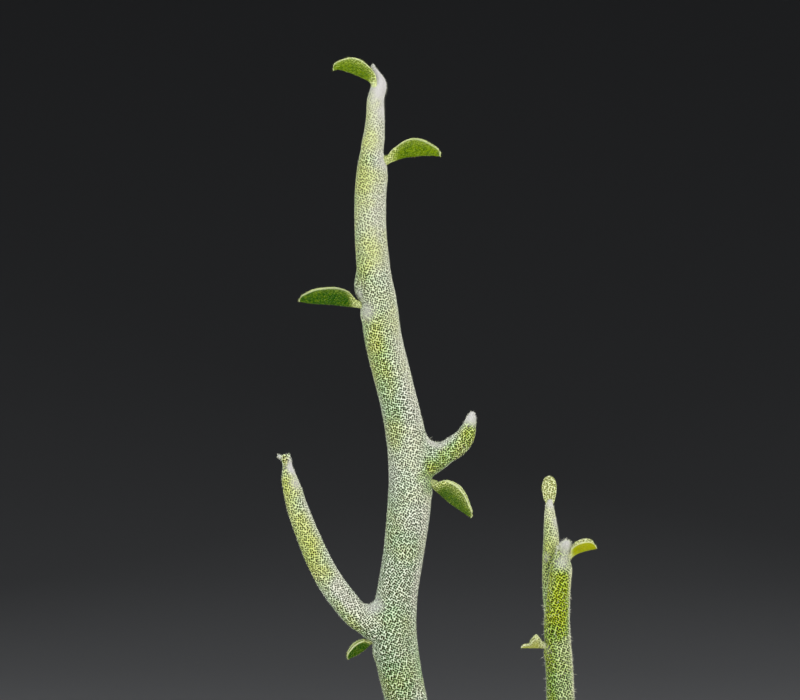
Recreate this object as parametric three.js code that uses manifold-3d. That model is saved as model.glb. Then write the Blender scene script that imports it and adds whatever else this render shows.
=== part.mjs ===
// Potted slipper plant: a round clay pot of gritty soil, two succulent stems and eight small leaves.
// Millimetres, +Z up. The origin is the middle of the pot's base. The plant is seen from its front
// when looking along +Y, with +X to the right.

import * as THREE from 'three';
import { mergeVertices } from 'three/addons/utils/BufferGeometryUtils.js';
import Module from 'manifold-3d';

const wasm = await Module();
wasm.setup();

// Driving dimensions

const clearance = 0.3; // between a piece and the piece that holds it

const pot = {
  height: 84,
  rimRadius: 48,
  rimHeight: 20, // of the thick band round the mouth
  rimTaper: 0.8, // how much narrower the band is at its foot
  bodyTopRadius: 42.5, // outside, just under the band
  baseRadius: 31,
  wall: 4.5,
  floor: 6,
  drainRadius: 5,
  rounding: 1.8,
  sides: 48,
};

const soil = {
  level: 72,
  crown: 1.2, // how much higher it lies in the middle
  relief: 0.5, // height of its bumps
  sides: 32,
  rings: 4,
  gritCount: 64,
  gritRadius: [1.7, 3.3],
  gritWidth: [0.7, 1.0], // shares of that radius
  gritThickness: [0.6, 0.8],
  gritTilt: [0, 0.6],
  gritSunk: 0.15, // share of a grain's radius that its middle lies under the surface
  seed: 7,
};

const stemSides = 14;
const shootSides = 12;
const prongSides = 8;
const stalkSides = 10;
const ringSpacing = 4; // along the stems
const socketDepth = 1.6; // how far a leaf's stalk goes into its stem
const stalkReach = 1; // how far the stalk's round end goes on outside the stem
const stalkInset = 0.05; // how much thinner that end is than the leaf round it

// Stems and shoots, as stations [x, y, z, radius] from the foot to the tip

const mainStemLine = [
  [-7.3, 2.6, 48.5, 1.2],
  [-7.2, 2.6, 49.6, 3.0],
  [-7.2, 2.5, 52, 4.0],
  [-7.0, 2.2, 62, 4.6],
  [-7.0, 1.9, 72, 4.9],
  [-6.9, 1.6, 80, 4.75],
  [-6.9, 1.4, 88, 4.5],
  [-7.4, 1.1, 98, 4.55],
  [-8.8, 0.8, 108, 4.3],
  [-10.8, 0.5, 118, 4.25],
  [-12.3, 0.4, 125, 4.4],
  [-13.0, 0.3, 129.5, 4.5],
  [-13.1, 0.2, 133, 4.4],
  [-12.6, 0, 139, 4.15],
  [-11.7, -0.2, 145, 4.1],
  [-10.8, -0.4, 151, 4.2],
  [-10.2, -0.6, 157, 4.35],
  [-10.0, -0.7, 163, 4.25],
  [-10.5, -0.8, 169, 4.1],
  [-11.6, -0.9, 175, 3.9],
  [-13.6, -1.0, 183, 3.75],
  [-15.3, -1.0, 191, 3.7],
  [-16.2, -1.0, 197.4, 3.65],
  [-16.8, -0.9, 202, 3.55],
  [-17.4, -0.8, 206, 3.35],
  [-17.9, -0.6, 212, 3.2],
  [-17.9, -0.3, 218, 3.2],
  [-17.6, 0, 224, 3.15],
  [-17.6, 0.1, 227.6, 2.5],
  [-17.3, 0.3, 232, 2.1],
  [-16.9, 0.5, 237, 1.87],
  [-16.4, 0.6, 240, 1.67],
  [-16.1, 0.7, 241.8, 1.3],
  [-16.5, 0.7, 243.2, 1.0],
  [-17.1, 0.7, 244.4, 0.62],
  [-17.3, 0.7, 245.4, 0.3],
];

const leftBranchLine = [
  [-13.2, 0.2, 131.8, 3.6],
  [-16.2, 0, 132.7, 3.4],
  [-18.3, -0.2, 133.6, 3.0],
  [-20.6, -0.5, 135.3, 2.75],
  [-22.9, -0.9, 137.9, 2.64],
  [-25.7, -1.4, 141.6, 2.55],
  [-28.2, -2.0, 146.1, 2.46],
  [-30.2, -2.6, 150.7, 2.33],
  [-32.0, -3.2, 155.7, 2.16],
  [-33.2, -3.7, 160.6, 1.9],
  [-33.9, -3.9, 163, 1.52],
  [-34.1, -4.0, 164.3, 1.14],
  [-34.2, -4.0, 165.7, 1.0],
  [-34.4, -4.0, 166.9, 1.1],
  [-34.5, -4.0, 167.4, 0.75],
];

const branchTipProngs = [
  [[-34.3, -4.2, 165.5, 0.6], [-35.3, -4.3, 166.4, 0.45], [-36.1, -4.4, 167.1, 0.34]],
  [[-34.0, -3.8, 165.7, 0.6], [-33.7, -3.6, 167.1, 0.42], [-33.5, -3.5, 167.7, 0.3]],
];

const rightShootLine = [
  [-10.2, -0.7, 165.2, 3.9],
  [-7.2, -0.4, 165.9, 3.7],
  [-4.9, -0.1, 166.5, 3.15],
  [-3.0, 0.2, 167.4, 2.7],
  [-1.0, 0.6, 168.7, 2.25],
  [0.7, 1.0, 170.6, 1.85],
  [1.9, 1.3, 172.8, 1.5],
  [2.6, 1.4, 174.7, 1.1],
  [2.7, 1.4, 175.8, 0.65],
];

const smallStemLine = [
  [20.6, 6.2, 54.6, 0.9],
  [20.6, 6.2, 55.4, 2.0],
  [20.5, 6.1, 57.5, 2.7],
  [20.5, 5.7, 72, 3.05],
  [20.6, 5.2, 88, 2.95],
  [20.7, 4.6, 104, 2.95],
  [20.3, 4.0, 118, 2.88],
  [19.9, 3.8, 126.6, 2.74],
  [19.7, 3.6, 132.6, 2.66],
  [20.0, 3.3, 138.2, 2.42],
  [20.4, 3.0, 143.9, 2.26],
  [20.4, 2.9, 146.0, 1.95],
  [20.8, 2.8, 147.4, 1.4],
  [21.4, 2.7, 148.9, 1.15],
  [21.9, 2.6, 150.0, 0.8],
];

const rearShootLine = [
  [19.4, 4.4, 130.5, 1.9],
  [18.9, 5.6, 135.5, 1.75],
  [18.6, 6.7, 140.5, 1.65],
  [18.6, 7.2, 145.0, 1.75],
  [18.8, 7.4, 147.6, 1.8],
  [18.9, 7.4, 149.8, 1.66],
  [18.65, 7.3, 153.5, 1.32],
  [18.4, 7.2, 156.5, 0.95],
  [18.5, 7.1, 158.2, 0.55],
];

// Swellings at the nodes, as [x, y, z, half width, half height]

const mainStemSwellings = [
  [-10.0, 1.5, 82, 2.2, 2.4], // scar of a fallen leaf, left
  [-4.4, 1.0, 101.4, 2.2, 2.4], // scar of a fallen leaf, right
  [-16.0, 0.2, 128.2, 1.9, 2.4], // under the low left leaf
  [-7.4, -0.7, 160.4, 1.9, 2.6], // under the lower right leaf
  [-18.6, -1.0, 195.4, 1.7, 2.4], // under the middle left leaf
  [-19.2, -0.9, 201.4, 1.95, 3.6], // bud above the middle left leaf
  [-15.9, 0, 222.6, 1.6, 2.2], // under the upper right leaf
  [-16.3, 0, 136.4, 1.5, 2.6], // web in the left branch's crotch
  [-6.9, -0.6, 168.2, 1.5, 2.6], // web in the right shoot's crotch
];

const smallStemSwellings = [
  [18.7, 5.2, 90, 1.5, 2.0], // scar of a fallen leaf, left
  [22.5, 4.6, 106, 1.5, 2.0], // scar of a fallen leaf, right
  [18.2, 3.7, 127.2, 1.35, 1.9], // under the side leaf
  [21.5, 3.0, 143.0, 1.25, 1.8], // under the right leaf
];

// Leaves. `base` is the middle of the stalk at the stem's skin. A leaf points along `heading` (about
// +Z, from +X) and `tilt` (above level), then turns by `roll` about its length. `fold` is how steeply
// its halves rise from the keel. A row of `outline` is the distance along the leaf, the keel's rise
// and the folded blade's height above the keel.

const mainStemLeaves = [
  {
    name: 'tip_leaf',
    base: [-17.5, -0.2, 241.1],
    heading: 186,
    tilt: 0,
    roll: -6,
    fold: 64,
    outline: [
      [0, 0, 1.3],
      [0.5, 1.0, 1.5],
      [1.3, 1.7, 2.3],
      [2.6, 2.35, 2.9],
      [4.0, 2.9, 3.2],
      [5.6, 3.4, 2.9],
      [7.2, 3.65, 1.7],
      [8.0, 3.4, 0.6],
    ],
  },
  {
    name: 'upper_right_leaf',
    base: [-14.8, -0.3, 225.9],
    heading: -9,
    tilt: 0,
    roll: 5,
    fold: 62,
    outline: [
      [0, 0, 1.9],
      [1.3, 0.65, 2.4],
      [2.6, 1.15, 3.0],
      [4.1, 1.55, 3.6],
      [5.7, 1.75, 3.7],
      [7.3, 1.85, 3.4],
      [9.0, 1.8, 2.6],
      [10.2, 1.7, 1.8],
      [11.0, 1.65, 1.1],
    ],
  },
  {
    name: 'middle_left_leaf',
    base: [-19.8, -1.3, 197.1],
    heading: 190,
    tilt: 0,
    roll: -8,
    fold: 64,
    outline: [
      [0, 0, 1.4],
      [1.6, 0, 2.2],
      [2.7, 0.05, 3.0],
      [4.1, 0.15, 3.55],
      [5.8, 0.3, 3.65],
      [7.7, 0.5, 3.4],
      [10.3, 0.7, 2.65],
      [12.0, 0.95, 1.6],
      [12.8, 1.05, 0.6],
    ],
  },
  {
    name: 'lower_right_leaf',
    base: [-5.7, -1.0, 161.3],
    heading: -10,
    tilt: -37,
    roll: 6,
    fold: 60,
    outline: [
      [0, 0, 1.5],
      [0.9, -0.05, 2.5],
      [1.9, -0.1, 3.5],
      [3.0, -0.2, 3.95],
      [4.7, -0.3, 4.05],
      [6.4, -0.24, 3.45],
      [8.2, -0.16, 2.4],
      [9.6, -0.05, 1.4],
      [10.4, 0, 0.6],
    ],
  },
  {
    name: 'low_left_leaf',
    base: [-17.7, 0, 129.9],
    heading: 184,
    tilt: -34,
    roll: -12,
    fold: 58,
    outline: [
      [0, 0, 1.2],
      [1.0, -0.2, 1.65],
      [2.6, -0.35, 2.3],
      [4.1, -0.3, 2.15],
      [5.3, -0.1, 1.4],
      [6.1, 0, 0.6],
    ],
  },
];

const smallStemLeaves = [
  {
    name: 'small_stem_top_leaf',
    base: [18.4, 8.2, 155.5],
    heading: 90,
    tilt: 80,
    roll: 0,
    fold: 22,
    outline: [
      [0, 0, 0.9],
      [1.0, -0.5, 0.75],
      [2.3, -0.8, 0.75],
      [4.4, -0.9, 0.75],
      [5.8, -0.8, 0.7],
      [6.8, -0.6, 0.6],
      [7.1, -0.5, 0.5],
    ],
    halfWidths: [0.45, 0.75, 1.2, 1.6, 1.35, 0.75, 0.35],
  },
  {
    name: 'small_stem_right_leaf',
    base: [22.2, 2.6, 146.4],
    heading: -6,
    tilt: 19,
    roll: 22,
    fold: 50,
    outline: [
      [0, 0, 1.2],
      [0.9, 0.35, 1.6],
      [2.0, 0.45, 2.1],
      [3.3, 0.4, 2.3],
      [4.6, 0.25, 2.0],
      [5.6, 0.05, 1.2],
      [6.1, 0, 0.6],
    ],
  },
  {
    name: 'small_stem_side_leaf',
    base: [17.2, 3.4, 128.6],
    heading: 186,
    tilt: 0,
    roll: -6,
    fold: 62,
    outline: [
      [0, 0, 1.3],
      [0.7, 0, 2.0],
      [1.4, 0, 2.75],
      [2.3, 0.05, 1.75],
      [3.3, 0.05, 0.95],
      [4.3, 0.1, 0.8],
      [4.8, 0.15, 0.5],
    ],
  },
];

const leafShape = {
  rings: 14,
  openFrom: 0.22, // share of the length where the stalk has opened into the blade
  openTo: 0.9, // share where the blade closes again at its point
  keelRounding: 0.35,
  keelWall: 1.05,
  keelShare: 0.6, // the most of the height that the keel's wall takes
  marginWall: 0.72,
  hollowShare: 0.3, // the least of the half width that stays hollow
  outerPlaces: [-1, -0.7, -0.36, 0, 0.36, 0.7, 1], // across the underside, from margin to margin
  innerPlaces: [0.94, 0.5, 0, -0.5, -0.94], // back across the upper side
};

const finishes = {
  clay: { color: 0xb4673f, roughness: 0.9, metalness: 0 },
  soil: { color: 0x5d4c3d, roughness: 0.95, metalness: 0 },
  mainStem: { color: 0xb4bd93, roughness: 0.7, metalness: 0 },
  smallStem: { color: 0x94a152, roughness: 0.7, metalness: 0 },
  leaf: { color: 0x6f8c1c, roughness: 0.45, metalness: 0 },
  paleLeaf: { color: 0xa9b25c, roughness: 0.5, metalness: 0 },
};

// From a closed geometry to a solid for joining and cutting, and back

function solidOf(geometry) {
  const bare = geometry.clone();
  bare.deleteAttribute('normal');
  bare.deleteAttribute('uv');
  const merged = mergeVertices(bare);
  const faces = [];
  for (let i = 0; i < merged.index.count; i += 3) {
    const [a, b, c] = merged.index.array.slice(i, i + 3);
    if (a !== b && b !== c && c !== a) faces.push(a, b, c);
  }
  return new wasm.Manifold(new wasm.Mesh({
    numProp: 3,
    vertProperties: new Float32Array(merged.attributes.position.array),
    triVerts: new Uint32Array(faces),
  }));
}

function geometryOf(solid) {
  const { vertProperties, triVerts } = solid.getMesh();
  const geometry = new THREE.BufferGeometry();
  geometry.setAttribute('position', new THREE.BufferAttribute(vertProperties, 3));
  geometry.setIndex(new THREE.BufferAttribute(triVerts, 1));
  geometry.computeVertexNormals();
  return geometry;
}

function joined(solids) {
  return solids.reduce((whole, solid) => whole.add(solid));
}

// A named mesh whose own frame stands at `placement`, round a solid given in the plant's frame
function pieceOf(name, solid, finish, placement = new THREE.Matrix4()) {
  const geometry = geometryOf(solid).applyMatrix4(placement.clone().invert());
  const mesh = new THREE.Mesh(geometry, new THREE.MeshStandardMaterial(finish));
  mesh.name = name;
  mesh.applyMatrix4(placement);
  return mesh;
}

// A closed body through rings of points, its ends closed onto the rings' middles
function skinOver(rings) {
  const count = rings[0].length;
  const points = rings.flat();
  const faces = [];
  for (let i = 0; i + 1 < rings.length; i += 1) {
    for (let j = 0; j < count; j += 1) {
      const here = i * count + j;
      const beside = i * count + ((j + 1) % count);
      faces.push(here, beside, beside + count, here, beside + count, here + count);
    }
  }
  const last = (rings.length - 1) * count;
  const firstMiddle = points.push(middleOf(rings[0])) - 1;
  const lastMiddle = points.push(middleOf(rings.at(-1))) - 1;
  for (let j = 0; j < count; j += 1) {
    const next = (j + 1) % count;
    faces.push(firstMiddle, next, j);
    faces.push(lastMiddle, last + j, last + next);
  }
  return new THREE.BufferGeometry().setFromPoints(points).setIndex(faces);
}

function middleOf(ring) {
  const sum = ring.reduce((total, point) => total.add(point), new THREE.Vector3());
  return sum.divideScalar(ring.length);
}

// A round tube through stations, made thicker all over by `grow`, with its flats half in the round
function tubeSolid(stations, sides, grow = 0) {
  const path = new THREE.CatmullRomCurve3(stations.map(([x, y, z]) => new THREE.Vector3(x, y, z)));
  const radii = stations.map(([, , , radius]) => new THREE.Vector3(radius, 0, 0));
  const radiusLine = new THREE.CatmullRomCurve3(radii, false, 'catmullrom');
  const places = [];
  for (let i = 0; i + 1 < stations.length; i += 1) {
    const pieces = Math.ceil(path.points[i].distanceTo(path.points[i + 1]) / ringSpacing);
    for (let j = 0; j < pieces; j += 1) places.push((i + j / pieces) / (stations.length - 1));
  }
  places.push(1);
  const halfOut = 2 / (1 + Math.cos(Math.PI / sides));
  let across = new THREE.Vector3(1, 0, 0);
  const rings = places.map((place) => {
    const middle = path.getPoint(place);
    const tangent = path.getTangent(place);
    if (place === 0 && Math.abs(tangent.x) > 0.9) across.set(0, 1, 0);
    across = across.addScaledVector(tangent, -across.dot(tangent)).normalize();
    const aside = new THREE.Vector3().crossVectors(tangent, across);
    const radius = (radiusLine.getPoint(place).x + grow) * halfOut;
    return Array.from({ length: sides }, (_, j) => {
      const turn = (2 * Math.PI * j) / sides;
      return middle.clone()
        .addScaledVector(across, radius * Math.cos(turn))
        .addScaledVector(aside, radius * Math.sin(turn));
    });
  });
  if (grow > 0) {
    pushOut(rings[0], path.getTangent(0), -grow);
    pushOut(rings.at(-1), path.getTangent(1), grow);
  }
  return solidOf(skinOver(rings));
}

function pushOut(ring, direction, distance) {
  ring.forEach((point) => point.addScaledVector(direction, distance));
}

function swellingSolid([x, y, z, halfWidth, halfHeight], grow) {
  const ball = new THREE.SphereGeometry(1, 10, 7).rotateX(Math.PI / 2);
  ball.scale(halfWidth + grow, halfWidth + grow, halfHeight + grow).translate(x, y, z);
  return solidOf(ball);
}

// Stems, each with what has grown from it

function mainStemSolid(grow = 0) {
  return joined([
    tubeSolid(mainStemLine, stemSides, grow),
    tubeSolid(leftBranchLine, shootSides, grow),
    tubeSolid(rightShootLine, shootSides, grow),
    ...branchTipProngs.map((prong) => tubeSolid(prong, prongSides, grow)),
    ...mainStemSwellings.map((swelling) => swellingSolid(swelling, grow)),
  ]);
}

function smallStemSolid(grow = 0) {
  return joined([
    tubeSolid(smallStemLine, shootSides, grow),
    tubeSolid(rearShootLine, shootSides, grow),
    ...smallStemSwellings.map((swelling) => swellingSolid(swelling, grow)),
  ]);
}

// Leaves

function leafPlacement({ base, heading, tilt, roll }) {
  const turn = new THREE.Euler(
    THREE.MathUtils.degToRad(roll),
    THREE.MathUtils.degToRad(-tilt),
    THREE.MathUtils.degToRad(heading),
    'ZYX',
  );
  return new THREE.Matrix4().makeRotationFromEuler(turn).setPosition(...base);
}

// How high the rounded fold has risen at a place between its keel (0) and a margin (1)
function foldRise(place) {
  const rounding = leafShape.keelRounding;
  return (Math.hypot(place, rounding) - rounding) / (Math.hypot(1, rounding) - rounding);
}

// Points [across, up from the keel] round one section, from a round stalk (0) to an open blade (1)
function leafSection(height, halfWidth, opened) {
  const { keelWall, keelShare, marginWall, hollowShare, outerPlaces, innerPlaces } = leafShape;
  const floor = Math.min(keelWall, height * keelShare);
  const innerHalf = Math.max(halfWidth - marginWall, halfWidth * hollowShare);
  const stalk = (turn) => [(height / 2) * Math.cos(turn), (height / 2) * (1 + Math.sin(turn))];
  const mixed = ([stalkAcross, stalkUp], across, up) => [
    THREE.MathUtils.lerp(stalkAcross, across, opened),
    THREE.MathUtils.lerp(stalkUp, up, opened),
  ];
  const under = outerPlaces.map((place) => mixed(
    stalk(Math.PI * (1.5 + place / 2)),
    halfWidth * place,
    height * foldRise(place),
  ));
  const upper = innerPlaces.map((place) => mixed(
    stalk(Math.PI * (0.5 - place / 3)),
    innerHalf * place,
    floor + (height - floor) * foldRise(place),
  ));
  return [...under, ...upper];
}

function leafSkin(leaf) {
  const line = new THREE.CatmullRomCurve3(leaf.outline.map((row) => new THREE.Vector3(...row)));
  const slope = 1 / Math.tan(THREE.MathUtils.degToRad(leaf.fold));
  const widths = leaf.halfWidths ?? leaf.outline.map(([, , height]) => height * slope);
  const widthLine = new THREE.CatmullRomCurve3(
    widths.map((width) => new THREE.Vector3(width, 0, 0)),
    false,
    'catmullrom',
  );
  const stalkHalf = leaf.outline[0][2] / 2;
  const rings = Array.from({ length: leafShape.rings + 1 }, (_, i) => {
    const place = i / leafShape.rings;
    const { x: along, y: rise, z: height } = line.getPoint(place);
    const tangent = line.getTangent(place);
    const pitch = Math.atan2(tangent.y, tangent.x);
    const opened = THREE.MathUtils.smoothstep(place, 0, leafShape.openFrom)
      * (1 - THREE.MathUtils.smoothstep(place, leafShape.openTo, 1));
    return leafSection(height, widthLine.getPoint(place).x, opened).map(([across, up]) => (
      new THREE.Vector3(
        along - up * Math.sin(pitch),
        across,
        rise - stalkHalf + up * Math.cos(pitch),
      )
    ));
  });
  return skinOver(rings).applyMatrix4(leafPlacement(leaf));
}

// The round end of a leaf's stalk in its stem, or the socket for it
function stalkEnd(leaf, grow = 0) {
  const [[, , thickness], [along, rise]] = leaf.outline;
  const direction = new THREE.Vector3(along, 0, rise).normalize();
  const radius = thickness / 2 - stalkInset;
  const ends = [-socketDepth, stalkReach].map((distance) => (
    direction.clone().multiplyScalar(distance).applyMatrix4(leafPlacement(leaf))
  ));
  return tubeSolid(ends.map(({ x, y, z }) => [x, y, z, radius]), stalkSides, grow);
}

function leafPieces(leaves, stemWithRoom, finish) {
  return leaves.map((leaf) => {
    const blade = solidOf(leafSkin(leaf)).subtract(stemWithRoom);
    return pieceOf(leaf.name, blade.add(stalkEnd(leaf)), finish, leafPlacement(leaf));
  });
}

function withSockets(stem, leaves) {
  return leaves.reduce((whole, leaf) => whole.subtract(stalkEnd(leaf, clearance)), stem);
}

// Pot and soil

// A body turned about Z from an outline of [radius, height, rounding of that corner]
function turned(outline, sides, closed) {
  const corners = outline.map(([radius, height]) => new THREE.Vector2(radius, height));
  const points = outline.flatMap(([, , rounding], i) => {
    if (!rounding) return [corners[i]];
    const towards = (other) => corners[i].clone()
      .addScaledVector(other.clone().sub(corners[i]).normalize(), rounding);
    const before = towards(corners.at(i - 1));
    const after = towards(corners[(i + 1) % corners.length]);
    return new THREE.QuadraticBezierCurve(before, corners[i], after).getPoints(3);
  });
  if (closed) points.push(points[0]);
  return new THREE.LatheGeometry(points, sides).rotateX(Math.PI / 2);
}

function potInsideRadius(height) {
  const share = (height - pot.floor) / (pot.height - pot.floor);
  return THREE.MathUtils.lerp(pot.baseRadius - pot.wall, pot.bodyTopRadius, share);
}

function potSolid() {
  const bandFoot = pot.height - pot.rimHeight;
  return solidOf(turned([
    [pot.drainRadius, 0, 0],
    [pot.baseRadius, 0, pot.rounding],
    [pot.bodyTopRadius, bandFoot, 0],
    [pot.rimRadius - pot.rimTaper, bandFoot, pot.rounding],
    [pot.rimRadius, pot.height, pot.rounding],
    [potInsideRadius(pot.height), pot.height, pot.rounding],
    [potInsideRadius(pot.floor), pot.floor, pot.rounding],
    [pot.drainRadius, pot.floor, 0],
  ], pot.sides, true));
}

// The soil's uneven surface: a low crown with long waves and, across them, shorter ones
function soilHeight(x, y) {
  const share = Math.hypot(x, y) / potInsideRadius(soil.level);
  const longWaves = Math.sin(0.31 * x + 1) * Math.cos(0.27 * y);
  const shortWaves = 0.7 * Math.sin(0.5 * x - 0.4 * y);
  return soil.level + soil.crown * (1 - share * share) + soil.relief * (longWaves + shortWaves);
}

function soilBody() {
  const edge = potInsideRadius(soil.level) - clearance;
  const foot = pot.floor + clearance;
  const topRings = Array.from({ length: soil.rings + 1 }, (_, i) => [
    (edge * (soil.rings - i)) / soil.rings,
    soil.level,
    0,
  ]);
  const body = turned([
    [0, foot, 0],
    [potInsideRadius(foot) - clearance, foot, pot.rounding],
    ...topRings,
  ], soil.sides, false);
  const places = body.attributes.position;
  for (let i = 0; i < places.count; i += 1) {
    const isOnTop = places.getZ(i) > soil.level - clearance;
    if (isOnTop) places.setZ(i, soilHeight(places.getX(i), places.getY(i)));
  }
  return solidOf(body);
}

function seededRandom(seed) {
  let state = seed;
  return () => {
    state = (state * 16807) % 2147483647;
    return state / 2147483647;
  };
}

// Grains of grit, half sunk in the soil and clear of the stems and the pot
function gritSolids() {
  const random = seededRandom(soil.seed);
  const between = ([low, high]) => low + (high - low) * random();
  const stems = [mainStemLine, smallStemLine].map((line) => line.find(([, , z]) => z === soil.level));
  const grains = [];
  while (grains.length < soil.gritCount) {
    const size = between(soil.gritRadius);
    const edge = potInsideRadius(soil.level) - size - 2 * clearance;
    const reach = edge * Math.sqrt(random());
    const turn = 2 * Math.PI * random();
    const [x, y] = [reach * Math.cos(turn), reach * Math.sin(turn)];
    const grain = new THREE.IcosahedronGeometry(size, 0)
      .scale(1, between(soil.gritWidth), between(soil.gritThickness))
      .rotateX(between(soil.gritTilt))
      .rotateZ(2 * Math.PI * random())
      .translate(x, y, soilHeight(x, y) - soil.gritSunk * size);
    const isClear = stems.every(([stemX, stemY, , radius]) => (
      Math.hypot(x - stemX, y - stemY) > radius + size + 2 * clearance
    ));
    if (isClear) grains.push(solidOf(grain));
  }
  return grains;
}

function soilSolid() {
  const holes = [
    tubeSolid(mainStemLine, stemSides, clearance),
    tubeSolid(smallStemLine, shootSides, clearance),
  ];
  return holes.reduce((whole, hole) => whole.subtract(hole), joined([soilBody(), ...gritSolids()]));
}

// The whole plant

const container = new THREE.Group();
container.add(pieceOf('pot', potSolid(), finishes.clay));
container.add(pieceOf('soil', soilSolid(), finishes.soil));

const mainStem = new THREE.Group();
mainStem.add(pieceOf('main_stem', withSockets(mainStemSolid(), mainStemLeaves), finishes.mainStem));
mainStem.add(...leafPieces(mainStemLeaves, mainStemSolid(clearance), finishes.leaf));

const smallStem = new THREE.Group();
smallStem.add(pieceOf('small_stem', withSockets(smallStemSolid(), smallStemLeaves), finishes.smallStem));
smallStem.add(...leafPieces(smallStemLeaves, smallStemSolid(clearance), finishes.paleLeaf));

const pottedPlant = new THREE.Group();
pottedPlant.add(container, mainStem, smallStem);

export default pottedPlant;
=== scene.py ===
# A potted slipper plant on a pale studio floor: two velvety succulent stems, eight small folded
# leaves, gritty soil and a clay pot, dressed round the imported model. Lengths are in millimetres
# until a mesh is made. The plant is seen from its front when looking along +Y.

import math

import bpy
import numpy as np
from mathutils import Matrix, Vector, noise


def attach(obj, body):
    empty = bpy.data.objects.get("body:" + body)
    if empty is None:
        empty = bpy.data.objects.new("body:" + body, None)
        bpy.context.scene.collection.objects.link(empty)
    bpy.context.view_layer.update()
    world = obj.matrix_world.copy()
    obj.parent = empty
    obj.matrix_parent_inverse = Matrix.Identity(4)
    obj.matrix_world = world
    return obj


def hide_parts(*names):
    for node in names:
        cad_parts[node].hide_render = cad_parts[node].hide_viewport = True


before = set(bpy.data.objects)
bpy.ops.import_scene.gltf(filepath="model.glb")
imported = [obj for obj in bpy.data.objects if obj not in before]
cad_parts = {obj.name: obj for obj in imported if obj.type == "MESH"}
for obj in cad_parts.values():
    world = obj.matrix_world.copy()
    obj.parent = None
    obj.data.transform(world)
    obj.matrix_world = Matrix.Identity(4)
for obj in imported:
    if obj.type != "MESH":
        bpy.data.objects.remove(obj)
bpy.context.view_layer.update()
mm = 0.001


# Small helpers for numbers, colours, meshes and materials

def paint(red, green, blue):  # a screen colour, 0 to 255, as Blender's linear colour
    shares = [value / 255 for value in (red, green, blue)]
    linear = [s / 12.92 if s <= 0.04045 else ((s + 0.055) / 1.055) ** 2.4 for s in shares]
    return (*linear, 1)


def smooth(low, high, values):
    share = np.clip((np.asarray(values, float) - low) / (high - low), 0, 1)
    return share * share * (3 - 2 * share)


def noiseAt(points, size, seed=0):  # soft lumps of about that size, from -1 to 1
    shift = Vector((17.3 * seed, 5.1 * seed, 9.7 * seed))
    return np.array([noise.noise(Vector(p) / size + shift) for p in points])


def unit(rows):
    return rows / np.maximum(np.linalg.norm(rows, axis=-1, keepdims=True), 1e-9)


def meshOf(name, points, faces):
    mesh = bpy.data.meshes.new(name)
    mesh.from_pydata((np.asarray(points) * mm).tolist(), [], [list(map(int, f)) for f in faces])
    mesh.update()
    return mesh


def addPiece(name, mesh, material, replaced=(), tone=None, shadeSmooth=True):
    piece = bpy.data.objects.new(name, mesh)
    bpy.context.scene.collection.objects.link(piece)
    mesh.name = name
    mesh.materials.clear()
    mesh.materials.append(material)
    mesh.polygons.foreach_set("use_smooth", [shadeSmooth] * len(mesh.polygons))
    if tone is not None:
        layer = mesh.color_attributes.new("tone", "FLOAT_COLOR", "POINT")
        layer.data.foreach_set("color", np.asarray(tone, np.float32).ravel())
    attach(piece, "root")
    if replaced:
        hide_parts(*replaced)
    return piece


def pointsOf(mesh):
    points = np.empty(3 * len(mesh.vertices), np.float32)
    mesh.vertices.foreach_get("co", points)
    return points.reshape(-1, 3).astype(float) / mm


def normalsOf(mesh):
    normals = np.empty(3 * len(mesh.vertices), np.float32)
    mesh.vertex_normals.foreach_get("vector", normals)
    return normals.reshape(-1, 3).astype(float)


def movePoints(mesh, points):
    mesh.vertices.foreach_set("co", (points * mm).astype(np.float32).ravel())
    mesh.update()


def addNode(tree, kind, inputs=None, **settings):
    made = tree.nodes.new(kind)
    for key, value in settings.items():
        setattr(made, key, value)
    for key, value in (inputs or {}).items():
        if isinstance(value, bpy.types.NodeSocket):
            tree.links.new(value, made.inputs[key])
        else:
            made.inputs[key].default_value = value
    return made


def mixed(tree, share, first, second, way="MIX"):
    made = addNode(tree, "ShaderNodeMix", {0: share, 6: first, 7: second},
                   data_type="RGBA", blend_type=way)
    return made.outputs[2]


def ramp(tree, value, low, high, lowTo=0.0, highTo=1.0):
    made = addNode(tree, "ShaderNodeMapRange", {
        "Value": value, "From Min": low, "From Max": high, "To Min": lowTo, "To Max": highTo,
    }, interpolation_type="SMOOTHSTEP")
    return made.outputs["Result"]


def maths(tree, operation, first, second=0.0):
    return addNode(tree, "ShaderNodeMath", {0: first, 1: second}, operation=operation).outputs[0]


def newMaterial(name, **fixed):  # fixed values go straight onto the shader's own sockets
    material = bpy.data.materials.new(name)
    material.use_nodes = True
    tree = material.node_tree
    shader = tree.nodes["Principled BSDF"]
    for key, value in fixed.items():
        shader.inputs[key].default_value = value
    place = addNode(tree, "ShaderNodeTexCoord").outputs["Object"]
    return material, tree, shader, place


mapTurn = math.radians(24)  # keeps rows of pores off a stem's own line


def addMap(mesh, rows):  # a flat map of a skin in millimetres, one row for each corner of a face
    layer = mesh.uv_layers.new(name="skin_map")
    cosine, sine = math.cos(mapTurn), math.sin(mapTurn)
    turned = np.asarray(rows) @ np.array([[cosine, sine], [-sine, cosine]])
    layer.data.foreach_set("uv", (turned * mm).astype(np.float32).ravel())


# How far the nearest speck is, and a number of its own for it
def speckles(tree, place, size, randomness=1.0, space="3D"):
    cells = addNode(tree, "ShaderNodeTexVoronoi", {
        "Vector": place, "Scale": 1 / (size * mm), "Randomness": randomness,
    }, voronoi_dimensions=space)
    number = addNode(tree, "ShaderNodeSeparateColor", {"Color": cells.outputs["Color"]})
    return cells.outputs["Distance"], number.outputs["Red"]


def lumps(tree, place, size, detail=2.0):
    made = addNode(tree, "ShaderNodeTexNoise", {
        "Vector": place, "Scale": 1 / (size * mm), "Detail": detail,
    })
    return made.outputs["Fac"]


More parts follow.
